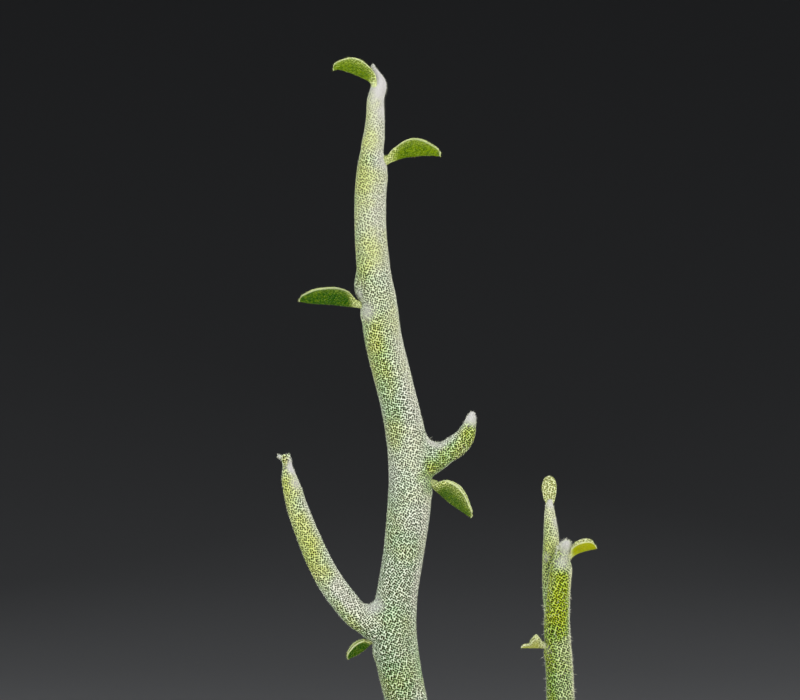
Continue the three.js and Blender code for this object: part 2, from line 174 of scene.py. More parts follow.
def wandering(tree, flat, size, reach):  # a flat map that is pushed about by soft noise
    sway = addNode(tree, "ShaderNodeTexNoise", {
        "Vector": flat, "Scale": 1 / (size * mm), "Detail": 0,
    }, noise_dimensions="2D")
    centred = addNode(tree, "ShaderNodeVectorMath", {
        0: sway.outputs["Color"], 1: (0.5, 0.5, 0.5),
    }, operation="SUBTRACT")
    made = addNode(tree, "ShaderNodeVectorMath", {
        0: centred.outputs[0], 1: (reach * mm,) * 3, 2: flat,
    }, operation="MULTIPLY_ADD")
    return made.outputs[0]


# Camera, floor and light

view = {
    "place": (-12, -444, 188),
    "lens": 100,
    "sensor": 36,
}

studio = {
    "floorReach": 600,  # flat and plainly pale as far as this
    "wallReach": 2700,
    "wallHeight": 3000,
    "paleReach": (600, 710),  # from the floor's edge to where the backdrop is dark
    "floorColor": paint(226, 224, 220),
    "backdropColor": paint(60, 61, 63),
    "airColor": paint(186, 190, 196),
    "airStrength": 0.3,
    # place, aimed at, width, watts, colour
    "lamps": {
        "key_lamp": ((460, -760, 520), (0, 0, 160), 620, 8.0, (1.0, 0.98, 0.95)),
        "fill_lamp": ((-640, -640, 280), (0, 0, 150), 700, 5.6, (0.97, 0.99, 1.0)),
        "left_rim_lamp": ((-520, 560, 420), (0, 0, 170), 420, 3.0, (1.0, 1.0, 1.0)),
        "right_rim_lamp": ((560, 520, 460), (0, 0, 170), 420, 4.6, (1.0, 1.0, 1.0)),
        "top_lamp": ((0, 80, 1100), (0, 0, 100), 800, 3.4, (1.0, 1.0, 1.0)),
    },
}


def addCamera():
    data = bpy.data.cameras.new("camera")
    data.lens = view["lens"]
    data.sensor_width = view["sensor"]
    data.clip_start = 0.01
    camera = bpy.data.objects.new("camera", data)
    camera.location = Vector(view["place"]) * mm
    camera.rotation_euler = (math.pi / 2, 0, 0)
    bpy.context.scene.collection.objects.link(camera)
    bpy.context.scene.camera = camera


def addLamp(name, place, aim, width, watts, color):
    data = bpy.data.lights.new(name, "AREA")
    data.shape = "DISK"
    data.size = width * mm
    data.energy = watts
    data.color = color
    lamp = bpy.data.objects.new(name, data)
    lamp.location = Vector(place) * mm
    lamp.rotation_euler = (Vector(aim) - Vector(place)).to_track_quat("-Z", "Y").to_euler()
    lamp.visible_camera = False
    bpy.context.scene.collection.objects.link(lamp)


def turnedMesh(name, outline, sides):  # an open outline of (radius, height), turned about Z
    angles = 2 * math.pi * np.arange(sides) / sides
    points = [(r * math.cos(a), r * math.sin(a), z) for r, z in outline for a in angles]
    faces = []
    for i in range(len(outline) - 1):
        for j in range(sides):
            here, beside = i * sides + j, i * sides + (j + 1) % sides
            faces.append((here, beside, beside + sides, here + sides))
    return meshOf(name, points, faces)


def addStudio():
    bend = studio["wallReach"] - studio["floorReach"]
    outline = [(0.5, 0), (200, 0), (400, 0), (studio["floorReach"], 0)]
    for step in range(1, 17):
        turn = math.pi / 2 * step / 16
        outline.append((studio["floorReach"] + bend * math.sin(turn), bend * (1 - math.cos(turn))))
    outline.append((studio["wallReach"], studio["wallHeight"]))
    mesh = turnedMesh("studio_floor", outline, 96)
    material, tree, shader, place = newMaterial("studio_paper", Roughness=0.9)
    apart = addNode(tree, "ShaderNodeSeparateXYZ", {0: place})
    flat = addNode(tree, "ShaderNodeCombineXYZ", {0: apart.outputs[0], 1: apart.outputs[1]})
    reach = addNode(tree, "ShaderNodeVectorMath", {0: flat.outputs[0]}, operation="LENGTH")
    near, far = (value * mm for value in studio["paleReach"])
    share = ramp(tree, reach.outputs["Value"], near, far)
    color = mixed(tree, share, studio["floorColor"], studio["backdropColor"])
    tree.links.new(color, shader.inputs["Base Color"])
    floor = bpy.data.objects.new("studio_floor", mesh)
    mesh.materials.append(material)
    mesh.polygons.foreach_set("use_smooth", [True] * len(mesh.polygons))
    bpy.context.scene.collection.objects.link(floor)

    world = bpy.data.worlds.new("studio_air")
    world.use_nodes = True
    background = world.node_tree.nodes["Background"]
    background.inputs["Color"].default_value = studio["airColor"]
    background.inputs["Strength"].default_value = studio["airStrength"]
    bpy.context.scene.world = world
    bpy.context.scene.view_settings.view_transform = "Standard"
    for name, lamp in studio["lamps"].items():
        addLamp(name, *lamp)


addCamera()
addStudio()
print("studio ready")


# Curves through stations, as the solids have them

def curveAt(rows, places):  # rows of numbers, the first three of them a point
    rows = np.array(rows, float)
    rows = np.vstack([2 * rows[0] - rows[1], rows, 2 * rows[-1] - rows[-2]])
    found = []
    for place in places:
        position = place * (len(rows) - 3)
        i = min(int(position), len(rows) - 4)
        t = position - i
        a, b, c, d = rows[i:i + 4]
        before, here, after = (
            max(np.linalg.norm((q - p)[:3]) ** 0.5, 1e-4) for p, q in ((a, b), (b, c), (c, d))
        )
        out = ((b - a) / before - (c - a) / (before + here)) * here + (c - b)
        back = ((d - c) / after - (d - b) / (here + after)) * here + (c - b)
        found.append(b + t * out + t * t * (3 * (c - b) - 2 * out - back)
                     + t ** 3 * (2 * (b - c) + out + back))
    return np.array(found)


def curveEvery(rows, spacing):  # the same curve in even short steps
    places = []
    for i in range(len(rows) - 1):
        span = math.dist(rows[i][:3], rows[i + 1][:3])
        steps = max(1, math.ceil(span / spacing))
        places += [(i + step / steps) / (len(rows) - 1) for step in range(steps)]
    return curveAt(rows, places + [1])


def tube(line, sides):  # points and faces of a closed round tube along stations [x, y, z, radius]
    tangents = unit(np.gradient(line[:, :3], axis=0))
    across = np.array([0.0, 1.0, 0.0]) if abs(tangents[0][0]) > 0.9 else np.array([1.0, 0, 0])
    turns = 2 * math.pi * np.arange(sides) / sides
    points, faces = [], []
    for (x, y, z, radius), tangent in zip(line, tangents):
        across = unit(across - tangent * (across @ tangent))
        aside = np.cross(tangent, across)
        points += [np.array([x, y, z]) + radius * (across * math.cos(t) + aside * math.sin(t))
                   for t in turns]
    for i in range(len(line) - 1):
        for j in range(sides):
            here, beside = i * sides + j, i * sides + (j + 1) % sides
            faces.append((here, beside, beside + sides, here + sides))
    faces.append(tuple(reversed(range(sides))))
    faces.append(tuple(range((len(line) - 1) * sides, len(line) * sides)))
    return points, faces


# Stems: tubes and swellings grown together into one skin

mainStem = {
    "lines": [
        [[-7.3, 2.6, 48.5, 1.2], [-7.2, 2.6, 49.6, 3.0], [-7.2, 2.5, 52, 4.0],
         [-7.0, 2.2, 62, 4.6], [-7.0, 1.9, 72, 4.9], [-6.9, 1.6, 80, 4.75], [-6.9, 1.4, 88, 4.5],
         [-7.4, 1.1, 98, 4.55], [-8.8, 0.8, 108, 4.3], [-10.8, 0.5, 118, 4.25],
         [-12.3, 0.4, 125, 4.4], [-13.0, 0.3, 129.5, 4.5], [-13.1, 0.2, 133, 4.4],
         [-12.6, 0, 139, 4.15], [-11.65, -0.2, 145, 4.05], [-10.8, -0.4, 151, 4.2],
         [-10.2, -0.6, 157, 4.35], [-10.0, -0.7, 163, 4.25], [-10.53, -0.8, 169, 4.08],
         [-11.64, -0.9, 175, 3.85], [-13.6, -1.0, 183, 3.77], [-15.48, -1.0, 191, 3.77],
         [-16.17, -1.0, 197.4, 3.63], [-17.03, -0.9, 202, 3.46], [-17.5, -0.8, 206, 3.33],
         [-17.9, -0.6, 212, 3.2], [-17.9, -0.3, 218, 3.2], [-17.6, 0, 224, 3.08],
         [-17.65, 0.1, 227.4, 2.36], [-17.3, 0.2, 230, 2.26], [-17.06, 0.3, 232.4, 2.01],
         [-16.88, 0.45, 235.6, 1.82], [-16.93, 0.5, 237.7, 1.74], [-16.62, 0.58, 239.2, 1.66],
         [-16.22, 0.6, 240.5, 1.6], [-16.13, 0.7, 241.8, 1.24],
         [-16.65, 0.7, 243.1, 0.85], [-17.1, 0.7, 244.2, 0.5], [-17.4, 0.7, 245.15, 0.28]],
        [[-15.0, 0.1, 132.3, 3.3], [-16.6, 0, 132.8, 3.3], [-18.3, -0.2, 133.7, 2.95],
         [-20.65, -0.5, 135.12, 2.73], [-22.95, -0.9, 137.75, 2.66], [-25.72, -1.4, 141.55, 2.64],
         [-28.15, -2.0, 146.1, 2.47], [-30.12, -2.6, 150.7, 2.32], [-32.02, -3.2, 155.7, 2.19],
         [-33.42, -3.7, 160.6, 1.88], [-33.98, -3.9, 162.8, 1.55], [-34.22, -4.0, 164.3, 1.14],
         [-34.33, -4.0, 165.4, 0.94], [-34.48, -4.0, 166.45, 0.84]],
        [[-8.4, -0.5, 165.4, 3.2], [-7.0, -0.4, 165.75, 3.3], [-4.9, -0.1, 166.6, 2.84],
         [-2.9, 0.2, 167.52, 2.36], [-0.74, 0.6, 168.8, 2.28], [1.0, 1.0, 170.58, 1.93],
         [1.84, 1.3, 172.6, 1.42], [2.3, 1.4, 174.3, 1.02], [2.44, 1.4, 175.1, 0.66]],
        [[-34.4, -4.2, 165.8, 0.7], [-35.2, -4.3, 166.55, 0.36], [-35.95, -4.4, 167.05, 0.34]],
        [[-34.3, -4.2, 166.0, 0.7], [-34.1, -4.2, 166.9, 0.45], [-34.0, -4.2, 167.4, 0.3]],
        [[-34.6, -4.2, 166.0, 0.7], [-34.9, -4.3, 166.8, 0.4], [-35.0, -4.3, 167.25, 0.28]],
        [[-16.6, 0.6, 243.3, 0.6], [-17.4, 0.5, 244.3, 0.38], [-17.85, 0.5, 244.85, 0.22]],
    ],
    # rounding under and over each further line where it leaves the stem, and at what height
    "blends": [(0.5, 3.1, 133.4), (0.8, 3.2, 166.6), (0.4, 0.4, 0), (0.4, 0.4, 0),
               (0.4, 0.4, 0), (0.25, 0.25, 0)],
    # x, y, z, half width, half height
    "swellings": [
        [-10.0, 1.5, 82, 2.1, 2.4], [-4.4, 1.0, 101.4, 2.1, 2.4], [-15.95, 0.2, 127.8, 1.6, 2.3],
        [-7.35, -0.7, 159.9, 1.75, 2.5], [-18.45, -1.0, 195.3, 1.45, 2.2],
        [-19.35, -0.9, 201.0, 1.85, 3.5], [-16.0, 0, 222.4, 1.35, 2.1],
    ],
    "scars": [[-12.3, 0.6, 83.2], [-2.1, 0.1, 102.4]],
    # x, y, z, reach, strength: whitest woolly places
    "pale": [
        [-15.6, 0.2, 242, 7.5, 1.0], [-14.6, 0.2, 236, 5, 0.6], [-14.8, -1.2, 226, 4.5, 0.6],
        [-18.4, -3.6, 195.6, 3.4, 0.55], [-4.6, -2.0, 170.6, 3.6, 0.6], [2.3, 1.2, 175.2, 4.2, 1.0],
        [-16.8, -2.0, 137.4, 3.6, 0.45], [-33.3, -4.6, 164.8, 2.4, 1.0],
        [-32.7, -4.8, 161.6, 2.4, 0.6], [-36.4, -4.4, 167, 1.5, 1.0],
        [-20.6, -2.6, 198.8, 2.0, 0.5], [-6.2, -3.6, 162.4, 2.6, 0.3],
    ],
    # strength, reach, line of x, y, z: yellow-green places with less bloom
    "sap": [
        [1.0, 5.0, [[-4.5, -3.6, 163.2], [-1.0, -3.0, 166.0], [1.6, -1.8, 169.2], [3.2, -0.6, 172.2]]],
        [1.0, 1.6, [[-34.9, -5.0, 167.2], [-34.7, -5.4, 164.2]]],
        [1.0, 5.4, [[-35.2, -6.0, 161], [-34.4, -6.0, 156], [-32.0, -5.4, 149.5], [-28.4, -4.4, 143.5]]],
        [0.7, 3.0, [[-28.4, -4.4, 142.0], [-24.4, -3.4, 136], [-20.9, -2.6, 131.6]]],
        [0.4, 5.0, [[-18.8, -2.6, 232], [-20.2, -3.0, 222], [-20.6, -3.2, 212], [-20.2, -3.4, 205]]],
        [0.35, 5.0, [[-18.8, -4.0, 193], [-17.0, -4.4, 186], [-14.6, -4.6, 177], [-13.6, -4.8, 171]]],
    ],
    # strength, reach, line of x, y, z: places with more bloom, and down the right edges a painted rim of
    # light
    "powderAndLitEdges": [
        [1.0, 4.6, [[-34.6, -5.4, 163], [-34.0, -5.8, 156], [-31.0, -5.2, 149], [-26.4, -3.8, 141]]],
        [0.7, 4.2, [[-26.0, -3.6, 141.5], [-21.5, -2.6, 136.4], [-18.0, -2.4, 135.0]]],
        [1.0, 5.0, [[-17.2, -2.0, 240], [-17.8, -2.8, 230]]],
        [0.45, 5.0, [[-18.2, -3.4, 222], [-18.4, -3.6, 206]]],
        [0.6, 2.6, [[-31.8, -4.6, 161], [-29.0, -3.6, 152], [-25.2, -2.4, 143.5]]],
        [0.4, 6.0, [[-10.4, -5.0, 156], [-10.6, -5.0, 170]]],
        [0.8, 2.6, [[-4.6, -1.8, 170.4], [-1.6, -1.2, 171.6], [0.4, -0.2, 173.4], [2.0, 0.4, 175.6]]],
        # painted rim light: the right edge of the lower stem painted whiter
        [0.45, 3.0, [[-7.2, -1.4, 112], [-8.8, -2.0, 124], [-9.0, -2.2, 133], [-7.4, -2.4, 146],
                     [-6.2, -2.8, 157]]],
        # painted rim light: the right edge of the upper stem painted whiter
        [0.4, 3.0, [[-8.0, -2.6, 174], [-10.4, -3.0, 184], [-12.6, -3.2, 195]]],
    ],
    # x, y, z, reach, strength: warm blush
    "blush": [
        [-19.6, -3.4, 200.6, 3.4, 0.3], [0.4, -1.0, 168.0, 3.4, 0.35], [-17.6, -3.6, 187, 3, 0.15],
        [-34.5, -4.8, 166.4, 1.8, 0.6],
    ],
    "leastBloom": 0.14,
    "bloomHeights": (138, 225),
    "seed": 3,
}

smallStem = {
    "lines": [
        [[20.6, 6.2, 54.6, 0.9], [20.6, 6.2, 55.4, 2.0], [20.5, 6.1, 57.5, 2.7],
         [20.5, 5.7, 72, 3.05], [20.6, 5.2, 88, 2.95], [20.7, 4.6, 104, 2.95],
         [20.36, 4.0, 118, 2.85], [19.96, 3.8, 126.6, 2.72], [19.63, 3.6, 132.6, 2.64],
         [19.88, 3.3, 138.2, 2.4], [20.33, 3.0, 143.9, 2.22], [20.4, 2.9, 145.6, 1.85],
         [20.7, 2.8, 146.8, 1.5], [21.1, 2.7, 148.0, 1.25], [21.4, 2.6, 149.0, 0.85]],
        [[19.35, 4.4, 130.5, 1.9], [18.85, 5.6, 135.5, 1.78], [18.5, 6.7, 140.5, 1.66],
         [18.5, 7.2, 145.0, 1.68], [18.66, 7.4, 147.6, 1.7], [18.72, 7.4, 149.8, 1.6],
         [18.48, 7.3, 153.5, 1.26], [18.35, 7.2, 156.0, 0.9], [18.45, 7.2, 157.3, 0.5]],
    ],
    "blends": [(0.5, 0.5, 0)],
    "swellings": [
        [18.7, 5.2, 90, 1.4, 2.0], [22.5, 4.6, 106, 1.4, 2.0], [18.2, 3.7, 126.9, 1.2, 1.8],
        [21.4, 3.0, 143.7, 1.1, 1.7],
    ],
    "scars": [[17.1, 4.7, 91.0], [24.1, 4.1, 107.0]],
    "pale": [
        [21.3, 2.0, 149.4, 3.0, 1.0], [20.8, 0.8, 145.6, 3.0, 0.55], [18.8, 6.6, 157.6, 2.8, 0.9],
        [20.0, 6.6, 153.0, 2.2, 0.5], [17.4, 5.6, 146.2, 2.0, 0.5], [17.6, 2.4, 127.8, 2.0, 0.25],
    ],
    "sap": [
        [1.0, 3.0, [[20.3, 0.4, 142.0], [20.5, 0.6, 139], [20.2, 0.8, 132]]],
        [0.6, 2.4, [[17.8, 3.0, 144], [17.2, 2.4, 134], [17.6, 2.2, 118]]],
        [0.55, 3.0, [[18.3, 5.2, 147.0], [18.4, 5.8, 152.0]]],
    ],
    "powderAndLitEdges": [
        [0.65, 3.4, [[18.7, 5.4, 148.0], [18.7, 5.8, 152.0], [18.4, 6.2, 157.0]]],
        # painted rim light: the right edge of the small stem painted whiter
        [1.0, 2.2, [[22.8, 2.6, 143.0], [23.2, 3.0, 134.0], [23.6, 3.6, 118.0]]],
    ],
    "blush": [[18.8, 6.0, 150.2, 3.0, 0.1]],
    "leastBloom": 0.27,
    "bloomHeights": (120, 165),
    "seed": 8,
}

skin = {
    "voxel": 0.29,
    "inset": 0.06,  # room left for the hairs
    "swellingBlend": 0.6,
    "relief": [(7.0, 0.08), (1.7, 0.03), (0.75, 0.03)],  # size and height of its lumps
    "scarSize": 1.15,
    "scarDepth": 0.3,
    # the side facing the key lamp is painted whiter: partly real thicker bloom, partly painted light
    "litSide": (0.80, -0.30, 0.50),
    "bareHeights": (118, 146),  # least bloom below these
}


def lineDistance(points, line):
    nearest = np.full(len(points), np.inf)
    for start, end in zip(line[:-1], line[1:]):
        axis = (end - start)[:3]
        share = np.clip((points - start[:3]) @ axis / max(axis @ axis, 1e-9), 0, 1)
        gap = np.linalg.norm(points - start[:3] - share[:, None] * axis, axis=1)
        np.minimum(nearest, gap - start[3] - share * (end[3] - start[3]), out=nearest)
    return nearest


def blendedLeast(first, second, width):
    closeness = np.maximum(width - np.abs(first - second), 0) / width
    return np.minimum(first, second) - closeness * closeness * width / 4


def stemDistance(points, stem, lines):
    whole = lineDistance(points, lines[0])
    for line, (under, over, height) in zip(lines[1:], stem["blends"]):
        width = under + (over - under) * smooth(height - 1.5, height + 1.5, points[:, 2])
        whole = blendedLeast(whole, lineDistance(points, line), width)
    for x, y, z, half, high in stem["swellings"]:
        sizes = np.array([half, half, high])
        away = points - (x, y, z)
        far = np.linalg.norm(away / sizes, axis=1)
        steep = np.maximum(np.linalg.norm(away / sizes ** 2, axis=1), 1e-6)
        whole = blendedLeast(whole, far * (far - 1) / steep, skin["swellingBlend"])
    for scar in stem["scars"]:
        near = np.linalg.norm(points - scar, axis=1)
        whole = whole + skin["scarDepth"] * (1 - smooth(0.4, 1.0, near / skin["scarSize"]))
    return whole


def spotsAt(points, spots, ragged):
    bare = np.ones(len(points))
    for x, y, z, reach, strength in spots:
        near = np.linalg.norm(points - (x, y, z), axis=1) / reach + 0.22 * ragged
        bare *= 1 - strength * (1 - smooth(0.1, 1, near))
    return 1 - bare


def bandsAt(points, bands, ragged):
    bare = np.ones(len(points))
    for strength, reach, line in bands:
        near = lineDistance(points, np.array([[*place, 0.0] for place in line])) / reach
        bare *= 1 - strength * (1 - smooth(0.2, 1, near + 0.22 * ragged))
    return 1 - bare


# Distance to a line, gap to its tube, and a place's own length along it, turn and distance
def lineMap(points, line):
    steps = np.linalg.norm(np.diff(line[:, :3], axis=0), axis=1)
    found = np.full((5, len(points)), np.inf)
    for i, (start, end, step) in enumerate(zip(line[:-1], line[1:], steps)):
        axis = (end - start)[:3] / step
        along = (points - start[:3]) @ axis
        nearest = np.clip(along, 0, step)
        far = np.linalg.norm(points - start[:3] - nearest[:, None] * axis, axis=1)
        gap = far - start[3] - nearest / step * (end[3] - start[3])
        if i:  # the map goes on before the first station and beyond the last one
            along = np.maximum(along, 0)
        if i < len(steps) - 1:
            along = np.minimum(along, step)
        away = points - start[:3] - along[:, None] * axis
        front = unit(np.array([0, -1, 0]) + axis[1] * axis)
        turn = np.arctan2(away @ np.cross(axis, front), away @ front)
        closer = far < found[0]
        rows = np.stack([far, gap, steps[:i].sum() + along, turn, np.linalg.norm(away, axis=1)])
        found[:, closer] = rows[:, closer]
    return found


def stemMap(mesh, points, lines):  # its seam is at the back of each line
    found = np.array([lineMap(points, line) for line in lines])
    corners = np.empty(len(mesh.loops), np.int32)
    mesh.loops.foreach_get("vertex_index", corners)
    counts = np.empty(len(mesh.polygons), np.int32)
    mesh.polygons.foreach_get("loop_total", counts)
    firsts = np.repeat(corners[np.cumsum(counts) - counts], counts)
    own = found[:, 1, firsts].argmin(axis=0)
    along, turn, reach = (found[own, part, corners] for part in (2, 3, 4))
    start = found[own, 3, firsts]
    turn = start + (turn - start + math.pi) % (2 * math.pi) - math.pi
    return np.stack([turn * reach, along + 7.3 * own], axis=1)


def stemSkin(name, stem):
    lines = [curveEvery(line, 1.1) for line in stem["lines"]]
    points, faces = [], []
    for line in lines:
        tubePoints, tubeFaces = tube(line, 20)
        faces += [[i + len(points) for i in face] for face in tubeFaces]
        points += tubePoints
    rough = bpy.data.objects.new("rough", meshOf("rough", points, faces))
    bpy.context.scene.collection.objects.link(rough)
    remesh = rough.modifiers.new("remesh", "REMESH")
    remesh.mode = "VOXEL"
    remesh.voxel_size = skin["voxel"] * mm
    found = bpy.context.evaluated_depsgraph_get()
    mesh = bpy.data.meshes.new_from_object(rough.evaluated_get(found))
    bpy.data.objects.remove(rough)

    edges = np.empty(2 * len(mesh.edges), np.int32)
    mesh.edges.foreach_get("vertices", edges)
    edges = edges.reshape(-1, 2)
    degree = np.bincount(edges.ravel(), minlength=len(mesh.vertices))[:, None]
    places = pointsOf(mesh)
    lumpy = sum(height * noiseAt(places, size, stem["seed"]) for size, height in skin["relief"])
    for evening in (0.6, 0.6, 0.5, 0.3, 0, 0):
        if evening:
            total = np.zeros_like(places)
            np.add.at(total, edges[:, 0], places[edges[:, 1]])
            np.add.at(total, edges[:, 1], places[edges[:, 0]])
            places = places + evening * (total / degree - places)
            movePoints(mesh, places)
        gap = stemDistance(places, stem, lines) + skin["inset"] - lumpy
        places = places - gap[:, None] * normalsOf(mesh)
        movePoints(mesh, places)

    normals = normalsOf(mesh)
    # painted light: the side facing the key lamp gets more bloom and less yellow, partly a real thicker
    # bloom there
    litFacing = smooth(-0.1, 0.95, normals @ unit(np.array(skin["litSide"])))
    blotch = noiseAt(places, 9, stem["seed"] + 1)
    streak = noiseAt(places * (1, 1, 0.25), 2.4, stem["seed"] + 2)
    ragged = noiseAt(places, 2.2, stem["seed"] + 3)
    pallor = np.clip(spotsAt(places, stem["pale"], ragged), 0, 1)
    # the powder bands hold real bloom and also painted rim light along the right edges
    sap, powderAndLitEdges = (bandsAt(places, stem[key], ragged) for key in ("sap", "powderAndLitEdges"))
    height = smooth(*stem["bloomHeights"], places[:, 2])
    yellow = np.clip(0.12 + 0.30 * height + 0.75 * sap + 0.45 * blotch - 0.3 * litFacing * height, 0, 1)
    low = smooth(*skin["bareHeights"], places[:, 2])
    bloom = np.clip(stem["leastBloom"] + 0.12 * low + 0.24 * height + 0.06 * litFacing + 0.08 * streak
                    - 0.14 * sap + 0.35 * powderAndLitEdges, 0, 1)
    woody = 1 - smooth(70, 100, places[:, 2] + 6 * blotch)
    warm = np.clip(spotsAt(places, stem["blush"], ragged) + 0.55 * woody, 0, 1)
    tone = np.stack([pallor, yellow, bloom, warm], axis=1)
    addMap(mesh, stemMap(mesh, places, lines))
    return mesh, tone


def velvetMaterial(name, look):  # tone: red woolly white, green yellowness, blue bloom, alpha warmth
    material, tree, shader, place = newMaterial(name, **look["fixed"])
    tone = addNode(tree, "ShaderNodeAttribute", attribute_name="tone")
    parts = addNode(tree, "ShaderNodeSeparateColor", {"Color": tone.outputs["Color"]})
    pallor, yellow, bloom = (parts.outputs[key] for key in ("Red", "Green", "Blue"))
    warm = maths(tree, "MULTIPLY", tone.outputs["Alpha"], look["warmShare"])

    patches = ramp(tree, lumps(tree, place, look["patchSize"]), 0.35, 0.65, -0.5, 0.5)
    yellowness = maths(tree, "ADD", yellow, maths(tree, "MULTIPLY", patches, look["patchShare"]))
    flesh = mixed(tree, yellowness, look["coolFlesh"], look["yellowFlesh"])
    flesh = mixed(tree, warm, flesh, look["warmFlesh"])
    covered = maths(tree, "SUBTRACT", bloom, maths(tree, "MULTIPLY", yellow, look["sapShows"]))
    coating = ramp(tree, covered, *look["bloomRange"], *look["bloomShares"])
    ground = mixed(tree, coating, flesh, look["bloom"])
    felted = ramp(tree, bloom, *look["feltRange"], 0, look["feltShare"])
    ground = mixed(tree, felted, ground, mixed(tree, yellowness, look["felt"], look["yellowFelt"]))

    # dark pores in even spacing, in rows that wander, and pale tufts between them
    flat = addNode(tree, "ShaderNodeUVMap", uv_map="skin_map").outputs["UV"]
    bent = wandering(tree, flat, look["rowSize"], look["rowReach"])
    away, number = speckles(tree, bent, look["poreSize"], look["poreRandom"], "2D")
    closed = maths(tree, "ADD", away, maths(tree, "MULTIPLY", bloom, look["poreShrink"]))
    pores = maths(tree, "MULTIPLY", ramp(tree, closed, *look["poreReach"], 1, 0),
                  ramp(tree, number, 0, 1, look["poreLeast"], 1))
    strength = ramp(tree, bloom, *look["poreFade"], *look["poreStrength"])
    bare = ramp(tree, pallor, 0.3, 1.0, 1, look["poreInWool"])
    poreShare = maths(tree, "MULTIPLY", maths(tree, "MULTIPLY", pores, strength), bare)
    tuftShare = maths(tree, "MULTIPLY", ramp(tree, away, *look["tuftReach"]),
                      ramp(tree, bloom, *look["tuftRange"], *look["tuftStrength"]))

    dark = mixed(tree, look["poreDepth"], flesh, mixed(tree, number, look["pore"], look["warmPore"]))
    tuft = mixed(tree, maths(tree, "MULTIPLY", yellow, look["sapInTufts"]), look["tuft"], flesh)
    color = mixed(tree, tuftShare, ground, tuft)
    color = mixed(tree, poreShare, color, dark)
    color = mixed(tree, ramp(tree, pallor, 0, 1, 0, look["woolShare"]), color, look["wool"])
    tree.links.new(color, shader.inputs["Base Color"])

    raised = maths(tree, "SUBTRACT", tuftShare, maths(tree, "MULTIPLY", poreShare, 1.4))
    grain = maths(tree, "MULTIPLY", lumps(tree, place, 0.14, 3), 0.5)
    bump = addNode(tree, "ShaderNodeBump", {
        "Height": maths(tree, "ADD", raised, grain), "Distance": look["bump"] * mm, "Strength": 0.8,
    })
    tree.links.new(bump.outputs["Normal"], shader.inputs["Normal"])
    rough = ramp(tree, poreShare, 0, 1, *look["rough"])
    tree.links.new(rough, shader.inputs["Roughness"])
    return material


velvet = {
    "fixed": {
        "Specular IOR Level": 0.06,
        "Sheen Weight": 0.08,
        "Sheen Roughness": 0.4,
        "Sheen Tint": (0.93, 0.95, 0.86, 1),
    },
    "patchSize": 5,
    "patchShare": 0.5,
    "coolFlesh": paint(156, 214, 128),
    "yellowFlesh": paint(192, 208, 64),
    "warmFlesh": paint(226, 190, 120),
    "warmShare": 0.6,
    "bloom": paint(228, 226, 218),
    "bloomRange": (-0.3, 0.7),
    "bloomShares": (0.0, 0.95),
    "sapShows": 0.57,  # how much yellowness shows through the bloom
    "sapInTufts": 0.6,
    "felt": paint(200, 203, 180),  # the even nap where the bloom is thick
    "yellowFelt": paint(196, 206, 118),
    "feltRange": (0.36, 0.74),
    "feltShare": 0.9,
    "rowSize": 3,
    "rowReach": 0.5,
    "poreSize": 0.44,
    "poreRandom": 0.54,
    "poreReach": (0.44, 0.50),  # in cells, from dark to none
    "poreShrink": 0.17,  # how much the bloom narrows them
    "poreLeast": 0.88,
    "poreFade": (0.4, 0.85),
    "poreStrength": (1.0, 0.66),
    "poreInWool": 0.35,
    "pore": paint(0, 40, 10),
    "warmPore": paint(38, 22, 0),
    "poreDepth": 0.99,
    "tuft": paint(252, 251, 246),
    "tuftReach": (0.48, 0.7),
    "tuftRange": (0.3, 0.7),
    "tuftStrength": (0.6, 0.1),
    "wool": paint(194, 192, 194),
    "woolShare": 0.94,
    "bump": 0.10,
    "rough": (0.8, 0.65),
}

smallVelvet = dict(
    velvet,
    coolFlesh=paint(132, 184, 66),
    yellowFlesh=paint(168, 188, 8),
    bloom=paint(232, 230, 204),
    bloomRange=(-0.1, 0.9),
    bloomShares=(0.0, 0.9),
    feltRange=(0.5, 1.0),
    poreSize=0.45,
    poreFade=(0.6, 1.0),
    tuft=paint(252, 254, 214),
    tuftStrength=(0.4, 0.2),
)

mainMesh, mainTone = stemSkin("main_stem_skin", mainStem)
smallMesh, smallTone = stemSkin("small_stem_skin", smallStem)
addPiece("main_stem_skin", mainMesh, velvetMaterial("main_stem_velvet", velvet),
         ["main_stem"], mainTone)
addPiece("small_stem_skin", smallMesh, velvetMaterial("small_stem_velvet", smallVelvet),
         ["small_stem"], smallTone)
print("stems ready:", len(mainMesh.polygons), len(smallMesh.polygons))


# Leaves: small folded boats on short stalks

leafForm = {
    "rings": 60,
    "openFrom": 0.22,
    "openTo": 0.9,
    "keelRounding": 0.35,
    "keelWall": 0.95,  # thickness at the keel
    "keelShare": 0.6,  # the most of the height that it takes
    "marginWall": 0.24,
    "marginLift": 0.12,  # how much the rounded margin adds to the height
    "across": 27,  # points across each side
    "marginSteps": 5,
    "rootReach": 1.5,  # how far the stalk goes on into its stem
}

